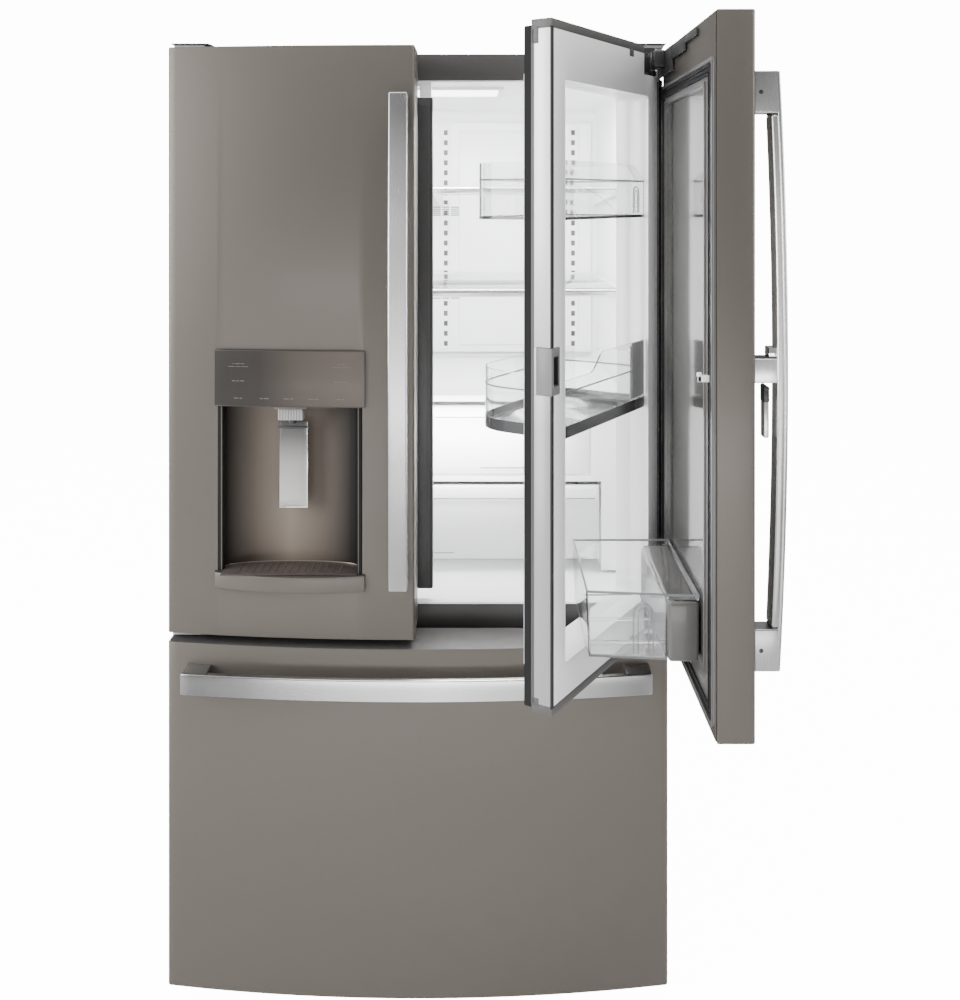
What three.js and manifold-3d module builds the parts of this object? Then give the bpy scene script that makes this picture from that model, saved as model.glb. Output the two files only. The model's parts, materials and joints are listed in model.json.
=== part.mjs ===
// A bow-fronted french door refrigerator with a door inside its right-hand door and a freezer drawer below.
// Millimetres. X runs across the front, Y from the front to the back and Z up from the floor. Pieces are drawn
// with every door shut, about the middle of the width and from the doors' outer front edges. The right-hand
// doors then turn to where they stand open, and the whole is centred on its own base.
import * as THREE from 'three';
import { mergeVertices } from 'three/addons/utils/BufferGeometryUtils.js';
import Module from 'manifold-3d';

const wasm = await Module();
wasm.setup();

// ---- Driving dimensions: the case
const width = 908; // across the case and the doors
const caseTop = 1743;
const caseDepth = 746; // from the case's front plane to its back
const doorDepth = 80; // from the doors' outer front edges to the case
const bow = 34; // how far the fronts swell at the middle of the width
const sheet = 2; // steel wrapper
const sideWall = 44; // from the case's side to the inside of the liner
const topWall = 50;
const backWall = 51;
const linerSkin = 2.6;
const backSheet = 3;
const gap = 0.4; // left between pieces that touch

// ---- Levels, from the floor up
const skirtLow = 8;
const panLow = 38;
const panThick = 3;
const freezerFrontLow = 42;
const freezerFloor = 110;
const freezerCeiling = 636;
const freezerFrontHigh = 666;
const freshFloor = 704;
const doorGap = 16; // between the freezer front and the doors above it
const doorOver = 2; // how far the doors rise over the case
const coverRise = 13; // how far the hinge covers rise over the doors

// ---- Doors
const doorSlot = 8; // between the two doors at the middle
const hingeIn = 14; // hinge line in from the case's side
const hingeFront = 37; // hinge line back from the doors' front edges
const leafBack = 62; // back of a full door's foamed leaf
const sealBack = 79.5; // back of a shut door's gasket
const sealWide = 18;
const pinRadius = 4.5;
const pinClearance = 1.2;
const innerRest = THREE.MathUtils.degToRad(58); // how far the inner right-hand door stands open
const outerRest = THREE.MathUtils.degToRad(90); // how far the outer right-hand door stands open

// ---- Dispenser in the left-hand door
const alcoveWide = 257;
const alcoveLow = 798;
const alcoveHigh = 1096;
const alcoveDeep = 74; // from the doors' front edges to the back of its curved wall
const controlHigh = 1198;
const controlOver = 8; // how far the control panel and the tray ledge overlap each side
const ledgeThick = 28;

// ---- Inner right-hand door
const innerFree = 16; // its free edge, from the middle of the width
const innerFront = 30;
const innerBack = 66;
const innerLow = 686;
const freeStile = 43;
const hingeStile = 50;
const innerHingeEdge = 21; // its hinge edge, in from the case's side
const windowLow = 753;
const windowTopRail = 90; // from the window up to the doors' top
const dikeBack = 95;
const dikeWide = 17;
const binBack = 208;
const binSlack = 3;

// ---- Outer right-hand door
const outerLeafBack = 22;
const outerBack = 27;
const blockBack = 75; // back of the raised block that carries the deep bin
const blockHigh = 97; // raised block's top, over the window's sill
const deepBinHigh = 109; // deep bin's rim, over the window's sill
const deepBinBack = 200;
const deepBinLean = 4; // how far its front wall leans out
const deepBinEnd = 95; // its free end, from the door's free edge
const deepBinTaper = 19; // how far that end is cut back at the front

// ---- Handles
const handleWide = 33;
const handleIn = 11; // from a door's free edge to its handle
const handleOut = 50; // how far a handle stands off at its middle
const handleThick = 17;
const handleBow = 12;
const handleLowUp = 100; // from the doors' lower edge up to a handle
const handleHighDown = 88;
const drawerHandleLow = 592;
const drawerHandleHigh = 630;
const drawerHandleIn = 36;

// ---- Inside
const shelfThick = 14;
const shelfFront = 240;
const drawerFrontAt = 238;
const coverHigh = 1068; // top of the glass over the crispers
const crisperLow = 908;
const crisperHigh = 1048;
const crisperIn = 74; // crisper's side, in from the liner
const deckLow = 893; // deck between the crispers and the wide drawer
const wideLow = 735;
const wideHigh = 886;
const machineDeep = 186;
const machineHigh = 235;
const humpWall = 30;

// ---- Values that follow from them
const half = width / 2;
const caseFront = doorDepth;
const caseBack = caseFront + caseDepth;
const bowRadius = (half ** 2 + bow ** 2) / (2 * bow);
const linerHalf = half - sideWall;
const linerFront = caseFront + sheet + gap;
const linerBack = caseBack - backWall;
const freshTop = caseTop - topWall;
const machineFront = caseBack - machineDeep;
const humpTop = machineHigh + humpWall;
const humpFront = machineFront - humpWall;
const doorLow = freezerFrontHigh + doorGap;
const doorHigh = caseTop + doorOver;
const doorFree = doorSlot / 2;
const hingeX = half - hingeIn;
const windowHigh = doorHigh - windowTopRail;
const windowFree = innerFree + freeStile;
const windowHinge = half - innerHingeEdge - hingeStile;
const handleLow = doorLow + handleLowUp;
const handleHigh = doorHigh - handleHighDown;
const handleMid = (handleLow + handleHigh) / 2;
const alcoveMid = -(half + doorFree) / 2;
const panHigh = panLow + panThick;
const blockTop = windowLow + blockHigh;
const shelfPitch = (freshTop - coverHigh) / 3;

// ---- Solids
const solid = (geometry) => {
  const bare = geometry.clone();
  bare.deleteAttribute('normal');
  bare.deleteAttribute('uv');
  const merged = mergeVertices(bare, 1e-4);
  const vertProperties = new Float32Array(merged.attributes.position.array);
  const triVerts = new Uint32Array(merged.index.array);
  return new wasm.Manifold(new wasm.Mesh({ numProp: 3, vertProperties, triVerts }));
};

const box = ([x0, x1], [y0, y1], [z0, z1]) => {
  const geometry = new THREE.BoxGeometry(x1 - x0, y1 - y0, z1 - z0);
  geometry.translate((x0 + x1) / 2, (y0 + y1) / 2, (z0 + z1) / 2);
  return solid(geometry);
};

const axes = {
  x: [new THREE.Vector3(0, 1, 0), new THREE.Vector3(0, 0, 1), new THREE.Vector3(1, 0, 0)],
  y: [new THREE.Vector3(1, 0, 0), new THREE.Vector3(0, 0, 1), new THREE.Vector3(0, -1, 0)],
  z: [new THREE.Vector3(1, 0, 0), new THREE.Vector3(0, 1, 0), new THREE.Vector3(0, 0, 1)],
};

// An outline drawn across an axis and carried along it: (Y, Z) for x, (X, Z) for y and (X, Y) for z.
const prism = (outline, [low, high], axis = 'z') => {
  const listed = Array.isArray(outline);
  const shape = listed ? new THREE.Shape(outline.map(([u, v]) => new THREE.Vector2(u, v))) : outline;
  const geometry = new THREE.ExtrudeGeometry(shape, {
    depth: high - low,
    steps: 1,
    bevelEnabled: false,
    curveSegments: 6,
  });
  geometry.translate(0, 0, axis === 'y' ? -high : low);
  geometry.applyMatrix4(new THREE.Matrix4().makeBasis(...axes[axis]));
  return solid(geometry);
};

// A rectangle with a radius for each corner: low-low, high-low, high-high, low-high.
const rounded = ([u0, u1], [v0, v1], radii) => {
  const [a, b, c, d] = Array.isArray(radii) ? radii : [radii, radii, radii, radii];
  const quarter = Math.PI / 2;
  const shape = new THREE.Shape();
  shape.absarc(u0 + a, v0 + a, a, 2 * quarter, 3 * quarter, false);
  shape.absarc(u1 - b, v0 + b, b, 3 * quarter, 4 * quarter, false);
  shape.absarc(u1 - c, v1 - c, c, 0, quarter, false);
  shape.absarc(u0 + d, v1 - d, d, quarter, 2 * quarter, false);
  return shape;
};

const rod = (radius, [low, high], [a, b], axis = 'z', sides = 20) => {
  const geometry = new THREE.CylinderGeometry(radius, radius, high - low, sides);
  geometry.rotateX(Math.PI / 2);
  geometry.translate(0, 0, (low + high) / 2);
  if (axis === 'x') geometry.applyMatrix4(new THREE.Matrix4().makeBasis(...axes.x));
  geometry.translate(...(axis === 'x' ? [0, a, b] : [a, b, 0]));
  return solid(geometry);
};

const turned = (profile, sides = 24) => {
  const geometry = new THREE.LatheGeometry(profile.map(([r, z]) => new THREE.Vector2(r, z)), sides);
  geometry.rotateX(Math.PI / 2);
  return geometry;
};

const join = (bodies) => bodies.reduce((all, one) => all.add(one));
const cut = (body, ...tools) => tools.reduce((left, tool) => left.subtract(tool), body);
const both = (make) => [make(-1), make(1)];
const span = (a, b) => (a < b ? [a, b] : [b, a]);
const mirrored = (side, a, b) => span(side * a, side * b);
const row = (count, make) => Array.from({ length: count }, (_, i) => make(i));

// An open tray: a rounded floor with walls round it.
const tray = (x, y, [low, high], wall, radii) => {
  const inner = (Array.isArray(radii) ? radii : [radii, radii, radii, radii]).map((r) => Math.max(r - wall, 1));
  const hollow = rounded([x[0] + wall, x[1] - wall], [y[0] + wall, y[1] - wall], inner);
  return cut(prism(rounded(x, y, radii), [low, high]), prism(hollow, [low + wall, high + 1]));
};

// The swelling front shared by the doors and the drawer, a distance `out` in front of their faces.
const bowY = (x, out = 0) => bowRadius - bow - Math.sqrt((bowRadius + out) ** 2 - x ** 2);
const bowLine = (from, to, out, steps = 12) =>
  row(steps + 1, (i) => {
    const x = from + ((to - from) * i) / steps;
    return [x, bowY(x, out)];
  });
const bowSlab = (x, back, z, out = 0, steps = 12) =>
  prism([...bowLine(x[0], x[1], out, steps), [x[1], back], [x[0], back]], z);

// A rectangular ring, as a gasket or a raised rim is.
const ring = (x, y, z, wide) =>
  cut(box(x, y, z), box([x[0] + wide, x[1] - wide], [y[0] - 1, y[1] + 1], [z[0] + wide, z[1] - wide]));

// ---- Materials
const finish = (color, roughness, metalness = 0, opacity = 1) =>
  new THREE.MeshStandardMaterial({ color, roughness, metalness, opacity, transparent: opacity < 1 });
const slate = () => finish(0x8a837b, 0.42, 0.55);
const charcoal = () => finish(0x3c3a38, 0.5, 0.2);
const whitePlastic = () => finish(0xf2f3f3, 0.4);
const clearPlastic = () => finish(0xe6eef0, 0.08, 0, 0.35);
const satin = () => finish(0xc9c8c5, 0.3, 0.9);
const steel = () => finish(0x9a9c9e, 0.45, 0.7);
const rubber = () => finish(0x4b4947, 0.7);
const foam = () => finish(0xd9cfae, 0.9);
const blackPlastic = () => finish(0x1c1c1d, 0.5);

// ---- The case
function cabinetShell() {
  const outer = box([-half, half], [caseFront, caseBack - backSheet - gap], [30, caseTop]);
  const hollow = box([-half + sheet, half - sheet], [caseFront + sheet, caseBack], [20, caseTop - sheet]);
  const mouth = (z) => box([-linerHalf, linerHalf], [caseFront - 1, caseFront + sheet + 1], z);
  return cut(outer, hollow, mouth([freshFloor, freshTop]), mouth([freezerFloor, freezerCeiling]));
}

function backPanel() {
  const vents = row(8, (i) => {
    const low = machineHigh - 40 - i * 18;
    return box([60, half - 60], [caseBack - backSheet - 1, caseBack + 1], [low, low + 8]);
  });
  return cut(box([-half, half], [caseBack - backSheet, caseBack], [30, caseTop]), ...vents);
}

const machineSpace = () => box([-half, half], [machineFront, caseBack], [panHigh - 1, machineHigh]);

function linerSolid(grow) {
  const x = [-linerHalf - grow, linerHalf + grow];
  return {
    fresh: box(x, [linerFront - gap * 2, linerBack + grow], [freshFloor - grow, freshTop + grow]),
    freezer: join([
      box(x, [linerFront - gap * 2, linerBack + grow], [humpTop - grow, freezerCeiling + grow]),
      box(x, [linerFront - gap * 2, humpFront + grow], [freezerFloor - grow, freezerCeiling + grow]),
    ]),
  };
}

function cabinetFoam() {
  const x = half - sheet - gap;
  const block = box([-x, x], [linerFront, caseBack - backSheet - gap], [panHigh + gap, caseTop - sheet - gap]);
  const tubs = linerSolid(linerSkin + gap);
  return cut(block, tubs.fresh, tubs.freezer, machineSpace());
}

function liner(which) {
  const front = box([-half, half], [0, linerFront], [0, caseTop]);
  return cut(linerSolid(linerSkin)[which], linerSolid(0)[which], front);
}

const rollerAt = { x: half - 58, y: caseBack - 46, radius: 22, wide: 20, axle: 4 };
const footAt = { x: half - 60, y: caseFront + 48, radius: 18, stem: 7 };

function basePan() {
  const x = half - sheet - gap;
  const plate = box([-x, x], [linerFront, caseBack - backSheet - gap], [panLow, panHigh]);
  const cheek = (at) =>
    box([at - 2, at + 2], [rollerAt.y - 14, rollerAt.y + 14], [rollerAt.radius - 10, panLow + 1]);
  const off = rollerAt.wide / 2 + 5;
  const cheeks = both((side) => [cheek(side * rollerAt.x - off), cheek(side * rollerAt.x + off)]).flat();
  const wells = both((side) => {
    const mid = side * rollerAt.x;
    const reach = rollerAt.radius + 3;
    return box(
      [mid - rollerAt.wide / 2 - 2, mid + rollerAt.wide / 2 + 2],
      [rollerAt.y - reach, rollerAt.y + reach],
      [panLow - 1, panHigh + 1],
    );
  });
  const bore = rod(rollerAt.axle + pinClearance, [-half, half], [rollerAt.y, rollerAt.radius], 'x');
  return cut(join([plate, ...cheeks]), ...wells, bore);
}

function roller(side) {
  const mid = side * rollerAt.x;
  const at = [rollerAt.y, rollerAt.radius];
  const reach = rollerAt.wide / 2;
  const wheel = rod(rollerAt.radius, [mid - reach, mid + reach], at, 'x', 28);
  return wheel.add(rod(rollerAt.axle, [mid - reach - 8, mid + reach + 8], at, 'x', 12));
}

function foot(side) {
  const profile = [
    [0, 0],
    [footAt.radius, 0],
    [footAt.radius, 5],
    [footAt.stem, 10],
    [footAt.stem, panLow - gap],
    [0, panLow - gap],
  ];
  return solid(turned(profile).translate(side * footAt.x, footAt.y, 0));
}

function toeGrille() {
  const plate = box([-half + 12, half - 12], [caseFront - 12, caseFront - gap], [skirtLow, freezerFrontLow - 2]);
  const slots = row(3, (i) => {
    const low = skirtLow + 5 + i * 9;
    return box([-half + 60, half - 60], [caseFront - 13, caseFront], [low, low + 4]);
  });
  return cut(plate, ...slots);
}

// ---- The cooling machinery
function compressor() {
  const middle = (machineFront + caseBack - backSheet) / 2;
  const profile = [
    [0, 0],
    [60, 0],
    [74, 14],
    [78, 60],
    [76, 100],
    [58, 132],
    [24, 146],
    [0, 148],
  ];
  const can = solid(turned(profile, 28).translate(-half * 0.5, middle, panHigh + gap + 8));
  const plate = box(
    [-half * 0.5 - 82, -half * 0.5 + 82],
    [middle - 62, middle + 62],
    [panHigh + gap, panHigh + gap + 9],
  );
  return can.add(plate);
}

// Plates on a spine, as the fins of a heat exchanger are.
const finned = ([x0, x1], [y0, y1], [z0, z1], count) =>
  join([
    box([x0, x1], [(y0 + y1) / 2 - 4, (y0 + y1) / 2 + 4], [z0 + 6, z1 - 6]),
    ...row(count, (i) => {
      const at = x0 + ((x1 - x0 - 3) * i) / (count - 1);
      return box([at, at + 3], [y0, y1], [z0, z1]);
    }),
  ]);

const condenserCoil = () =>
  finned([half * 0.3, half - 40], [machineFront + 24, caseBack - 24], [panHigh + 6, machineHigh - 30], 12);

const evaporator = () =>
  finned([-linerHalf + 80, linerHalf - 80], [linerBack - 46, linerBack - 4], [humpTop + 40, freezerCeiling - 80], 16);

function evaporatorCover() {
  const plate = box(
    [-linerHalf + 4, linerHalf - 4],
    [linerBack - 56, linerBack - 51],
    [humpTop + 2, freezerCeiling - 4],
  );
  const slots = row(6, (i) => {
    const x = -linerHalf + 90 + ((2 * linerHalf - 260) * i) / 5;
    return box([x, x + 80], [linerBack - 57, linerBack - 50], [freezerCeiling - 60, freezerCeiling - 46]);
  });
  return cut(plate, ...slots);
}

const fan = { x: half * 0.1, z: (panHigh + machineHigh) / 2, radius: 68, hub: 18, blades: 5 };

function condenserFan() {
  const middle = (machineFront + caseBack - backSheet) / 2;
  const hub = rod(fan.hub, [fan.x - 12, fan.x + 12], [middle, fan.z], 'x', 16);
  const blades = row(fan.blades, (i) => {
    const blade = new THREE.BoxGeometry(3, 40, fan.radius - fan.hub + 4);
    blade.rotateZ(THREE.MathUtils.degToRad(32));
    blade.translate(0, 0, (fan.radius + fan.hub) / 2 - 2);
    blade.rotateX((2 * Math.PI * i) / fan.blades);
    blade.translate(fan.x, middle, fan.z);
    return solid(blade);
  });
  return join([hub, ...blades]);
}

// ---- Inside the fresh food compartment
function rearPanel() {
  const low = coverHigh + 14;
  const high = freshTop - 32;
  const plate = box([-linerHalf + 16, linerHalf - 16], [linerBack - 9, linerBack - 3], [low, high]);
  const columns = [-linerHalf + 62, -26, 26, linerHalf - 62];
  const pitch = 30;
  const rows = Math.floor((high - low - 110) / pitch);
  const slots = columns.flatMap((x) =>
    row(rows, (i) =>
      box([x - 4, x + 4], [linerBack - 10, linerBack - 2], [low + 60 + i * pitch, low + 76 + i * pitch]),
    ),
  );
  return cut(plate, ...slots);
}

const shelfTop = (count) => coverHigh + shelfPitch * count;

function shelf(x, top) {
  const back = linerBack - 12;
  const glass = box([x[0] + 2, x[1] - 2], [shelfFront + 8, back - 4], [top - 8, top - 3]);
  const lip = box(x, [shelfFront, shelfFront + 14], [top - shelfThick, top]);
  const heel = box(x, [back - 14, back], [top - shelfThick, top + 8]);
  const arms = [x[0], x[1] - 8].map((low) => box([low, low + 8], [shelfFront + 2, back - 2], [top - shelfThick + 1, top - 1]));
  return join([glass, lip, heel, ...arms]);
}

// The glass cover, the sides, the divider and the deck that the drawers run in.
function drawerFrame() {
  const back = linerBack - 20;
  const side = linerHalf - 4;
  const crisperSide = linerHalf - crisperIn + 4;
  const wideSide = linerHalf - crisperIn + 24;
  const y = [shelfFront, back];
  return join([
    box([-side, side], y, [coverHigh - 12, coverHigh]),
    box([-side, side], y, [deckLow, crisperLow - 6]),
    box([-6, 6], y, [deckLow, coverHigh - 6]),
    ...both((s) => box(mirrored(s, crisperSide, side), y, [deckLow, coverHigh - 6])),
    ...both((s) => box(mirrored(s, wideSide, side), y, [freshFloor + 8, deckLow + 4])),
  ]);
}

const crisper = (side) => {
  const x = mirrored(side, 10, linerHalf - crisperIn);
  return tray(x, [drawerFrontAt, linerBack - 60], [crisperLow, crisperHigh], 4, 12);
};

const wideDrawer = () => {
  const reach = linerHalf - crisperIn + 20;
  return tray([-reach, reach], [drawerFrontAt, linerBack - 60], [wideLow, wideHigh], 4, 12);
};

const mullionGuide = () =>
  join([
    box([-34, 20], [caseFront + 6, caseFront + 44], [freshTop - 10, freshTop - gap]),
    box([-2, 20], [caseFront + 6, caseFront + 30], [freshTop - 29, freshTop - 9]),
  ]);

// ---- Hinges
const hingePin = (side, z) => rod(pinRadius, z, [side * hingeX, hingeFront], 'z', 16);
const hingeBore = (side, z) => rod(pinRadius + pinClearance, z, [side * hingeX, hingeFront], 'z', 16);
const outerHingeHigh = 48; // how far the outer door's hinge blocks reach down and up from its ends

const topPinLow = (side) => (side < 0 ? doorHigh - 20 : doorHigh - outerHingeHigh - 22);
const footPinHigh = (side) => (side < 0 ? doorLow + 20 : doorLow + outerHingeHigh + 22);

function topHinge(side) {
  const x = mirrored(side, half - 60, half - 4);
  const plateLow = doorHigh + 2;
  const arm = box(x, [hingeFront - 12, caseFront + 110], [plateLow, plateLow + 5]);
  const step = box(x, [caseFront + 12, caseFront + 110], [caseTop + gap, plateLow + 1]);
  return join([arm, step, hingePin(side, [topPinLow(side), plateLow + 3])]);
}

function hingeCover(side) {
  const x = mirrored(side, half - 66, half + 0);
  const high = doorHigh + coverRise;
  const outline = [
    [hingeFront - 16, doorHigh + 8],
    [hingeFront - 16, high - 3],
    [hingeFront + 10, high - 1],
    [caseFront + 20, high],
    [caseFront + 130, high],
    [caseFront + 150, caseTop + 6],
    [caseFront + 150, caseTop + gap],
    [caseFront + 114, caseTop + gap],
    [caseFront + 114, doorHigh + 8],
  ];
  return prism(outline, x, 'x');
}

function centreHinge(side) {
  const x = mirrored(side, half - 62, half - 2);
  const low = freezerFrontHigh + 3;
  const plate = box(x, [hingeFront - 14, caseFront - gap], [low, low + 8]);
  const flange = box(x, [caseFront - gap - 4, caseFront - gap], [low - 1, low + 26]);
  const washer = rod(9, [low + 7, doorLow - gap], [side * hingeX, hingeFront], 'z', 16);
  return join([cut(plate.add(flange), box(x, [caseFront - 18, caseFront], [low + 12, low + 40])), washer,
    hingePin(side, [low + 4, footPinHigh(side)])]);
}

// ---- Left-hand door
function leftDoorPanel() {
  const leaf = bowSlab([-half, -doorFree], leafBack, [doorLow, doorHigh]);
  const reach = alcoveWide / 2 + 3;
  const pocket = box(
    [alcoveMid - reach, alcoveMid + reach],
    [-bow - 5, alcoveDeep - 22],
    [alcoveLow - 3, controlHigh - 3],
  );
  return cut(leaf, pocket, hingeBore(-1, [doorLow - 1, doorLow + 24]), hingeBore(-1, [doorHigh - 24, doorHigh + 1]));
}

// The inner skin, with the ice compartment that stands into the refrigerator and the ledge for a bin.
function leftDoorLiner() {
  const front = leafBack + gap;
  const back = leafBack + 5;
  const plate = box([-half + 6, -doorFree - 4], [front, back], [doorLow + 4, doorHigh - 4]);
  const inset = 52;
  const iceLow = (doorLow + doorHigh) / 2 - 4;
  const ice = box([-half + inset, -doorFree - 58], [back - 1, 196], [iceLow, freshTop - 24]);
  const hollow = box([-half + inset + 10, -doorFree - 68], [back, 197], [iceLow + 10, freshTop - 34]);
  const rim = ring([-half + inset, -doorFree - 58], [back - 1, back + 32], [freshFloor + 16, iceLow + 4], 12);
  return join([plate, cut(ice, hollow), rim]);
}

const leftDoorGasket = () => {
  const y = [leafBack + 5 + gap, sealBack];
  return ring([-half + hingeIn, -doorFree - 4], y, [doorLow + 6, doorHigh - 8], sealWide);
};

function leftDoorBin() {
  const x = [-half + 68, -doorFree - 74];
  return tray(x, [leafBack + 5 + gap, 204], [freshFloor + 36, freshFloor + 150], 4, [6, 6, 34, 34]);
}

// The housing that lines the dispenser's alcove, with a round back, its cheeks and a head over the spout.
function dispenserHousing() {
  const reach = alcoveWide / 2 + 3 - gap;
  const x = [alcoveMid - reach, alcoveMid + reach];
  const block = bowSlab(x, alcoveDeep - 22 - gap, [alcoveLow - 3 + gap, controlHigh - 3 - gap], -1, 10);
  const inside = alcoveWide / 2 - 6;
  const round = new THREE.Shape();
  const spring = 4;
  round.moveTo(alcoveMid - inside, -bow - 20);
  round.lineTo(alcoveMid + inside, -bow - 20);
  round.lineTo(alcoveMid + inside, spring);
  round.absellipse(alcoveMid, spring, inside, alcoveDeep - 32 - spring, 0, Math.PI, false);
  const control = box(
    [alcoveMid - reach - 1, alcoveMid + reach + 1],
    [-bow - 20, -bow + 24],
    [alcoveHigh + 6, controlHigh],
  );
  return cut(block, prism(round, [alcoveLow, alcoveHigh]), control);
}

function controlPanel() {
  const reach = alcoveWide / 2 + controlOver;
  const x = [alcoveMid - reach, alcoveMid + reach];
  const outer = bowSlab(x, 0, [alcoveHigh + 1, controlHigh], 4, 10);
  const behind = bowSlab([x[0] - 1, x[1] + 1], 2, [alcoveHigh, controlHigh + 1], gap, 10);
  const keep = alcoveWide / 2 - 2;
  const tongue = bowSlab([alcoveMid - keep, alcoveMid + keep], -bow + 22, [alcoveHigh + 7, controlHigh - 6], 2, 10);
  return cut(outer, behind).add(tongue);
}

function dispenserNozzle() {
  const z = [alcoveHigh - 30, alcoveHigh - gap];
  const head = box([alcoveMid - 30, alcoveMid + 30], [-16, 20], z);
  const spout = rod(9, [z[0] - 10, z[0] + 1], [alcoveMid, -4], 'z', 16);
  return head.add(spout);
}

const paddle = { high: alcoveHigh - 44, low: 905, y: 14, thick: 5, wide: 52 };

function dispenserPaddle() {
  const x = [alcoveMid - paddle.wide / 2, alcoveMid + paddle.wide / 2];
  const face = box(x, [paddle.y, paddle.y + paddle.thick], [paddle.low, paddle.high]);
  const pivot = rod(4, [x[0] - 6, x[1] + 6], [paddle.y + paddle.thick / 2, paddle.high], 'x', 12);
  return face.add(pivot);
}

// The ledge under the alcove swells further out than the door, and its tray reaches back into the alcove.
function dripTray() {
  const reach = alcoveWide / 2 + controlOver;
  const z = [alcoveLow - ledgeThick, alcoveLow];
  const swell = 16;
  const steps = 14;
  const front = row(steps + 1, (i) => {
    const x = alcoveMid - reach + (2 * reach * i) / steps;
    return [x, bowY(x, 6 + swell * (1 - ((x - alcoveMid) / reach) ** 2))];
  });
  const behind = row(steps + 1, (i) => {
    const x = alcoveMid + reach - (2 * reach * i) / steps;
    return [x, bowY(x, gap)];
  });
  const ledge = prism([...front, ...behind], z);
  const inside = alcoveWide / 2 - 8;
  const tongue = prism(
    rounded([alcoveMid - inside, alcoveMid + inside], [-bow - 6, 14], [2, 2, 40, 40]),
    [alcoveLow + gap, alcoveLow + 5],
  );
  return ledge.add(tongue.add(box([alcoveMid - 60, alcoveMid + 60], [-bow - 10, -bow], [alcoveLow - 4, alcoveLow + 3])));
}

const flap = { hinge: -26, free: 24, front: caseFront + 3, thick: 22, low: 731, down: 31 };

const mullionFlap = () =>
  prism(rounded([flap.hinge - 5, flap.free], [flap.front, flap.front + flap.thick], 4), [flap.low, freshTop - flap.down]);

// ---- Handles. A door's bar bows away from it between two end blocks.
function doorHandle(side) {
  const foot = -bow - 0.5 * gap - 0.4;
  const steps = 12;
  const endBlock = 62;
  const outerAt = (z) => foot - handleOut + handleBow * ((2 * (z - handleMid)) / (handleHigh - handleLow)) ** 2;
  const outer = row(steps + 1, (i) => {
    const z = handleLow + ((handleHigh - handleLow) * i) / steps;
    return [outerAt(z), z];
  });
  const inner = row(steps + 1, (i) => {
    const z = handleHigh - endBlock - ((handleHigh - handleLow - 2 * endBlock) * i) / steps;
    return [outerAt(z) + handleThick, z];
  });
  const outline = [...outer, [foot, handleHigh], [foot, handleHigh - endBlock], ...inner,
    [foot, handleLow + endBlock], [foot, handleLow]];
  const free = doorFree + handleIn;
  const bar = prism(outline, mirrored(side, free, free + handleWide), 'x');
  if (side < 0) return bar;
  const bracket = box(
    [free + 3, free + handleWide - 3],
    [foot - handleOut + handleThick - 2, foot],
    [handleMid - 18, handleMid + 18],
  );
  return bar.add(bracket);
}

const trigger = { high: handleMid - 21, long: 78, y: -bow - handleOut + handleThick + 13, thick: 9 };

function handleTrigger() {
  const free = doorFree + handleIn;
  const x = [free + 7, free + handleWide - 7];
  const blade = box(x, [trigger.y - trigger.thick / 2, trigger.y + trigger.thick / 2],
    [trigger.high - trigger.long, trigger.high - 4]);
  return blade.add(rod(4, [x[0] - 3, x[1] + 3], [trigger.y, trigger.high - 5], 'x', 12));
}

// ---- Inner right-hand door: a frame round a window, with a deep rim behind it
const latchMid = handleMid - 12;
const latchX = innerFree + 14;

function innerDoorFrame() {
  const hingeEdge = half - innerHingeEdge;
  const frame = cut(
    box([innerFree, hingeEdge], [innerFront, innerBack], [innerLow, doorHigh]),
    box([windowFree, windowHinge], [0, 200], [windowLow, windowHigh]),
  );
  const rim = ring([windowFree - dikeWide, windowHinge + dikeWide], [innerBack - 1, dikeBack],
    [windowLow - dikeWide, windowHigh + dikeWide], dikeWide);
  const notch = (z) => box([hingeX - 26, half + 1], [0, 120], z);
  const pocket = box([innerFree - 1, latchX + 13], [innerFront - 1, innerFront + 27], [latchMid - 36, latchMid + 36]);
  return cut(
    frame.add(rim),
    notch([doorHigh - outerHingeHigh - 4, doorHigh + 1]),
    notch([innerLow - 5, doorLow + outerHingeHigh + 4]),
    hingeBore(1, [doorLow, doorLow + outerHingeHigh + 30]),
    hingeBore(1, [doorHigh - outerHingeHigh - 30, doorHigh]),
    pocket,
  );
}

const innerDoorGasket = () => {
  const x = [innerFree + 2, half - innerHingeEdge - 2];
  const rim = box([windowFree - dikeWide - gap, windowHinge + dikeWide + gap], [0, 200],
    [windowLow - dikeWide - gap, windowHigh + dikeWide + gap]);
  return cut(ring(x, [innerBack + gap, sealBack], [innerLow + 4, doorHigh - 8], sealWide), rim);
};

const innerBin = (low, high, radii) =>
  tray([windowFree + binSlack, windowHinge - binSlack], [innerFront + 6, binBack], [low, high], 3, radii);

const topBinLow = windowHigh - 218;
const middleBinLow = windowLow + 0.38 * (windowHigh - windowLow);
const innerTopBin = () => innerBin(topBinLow, topBinLow + 94, [4, 4, 30, 44]);
const innerMiddleBin = () => innerBin(middleBinLow, middleBinLow + 120, [4, 4, 34, 70]);

function latchCatch() {
  const block = box(
    [innerFree + gap, latchX + 13 - gap],
    [innerFront + gap, innerFront + 27 - gap],
    [latchMid - 36 + gap, latchMid + 36 - gap],
  );
  return cut(block, box([latchX - 7, latchX + 7], [innerFront - 1, innerFront + 23], [latchMid - 22, latchMid + 22]));
}

// ---- Outer right-hand door
const outerDoorPanel = () => bowSlab([doorFree, half], outerLeafBack, [doorLow, doorHigh]);

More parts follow.
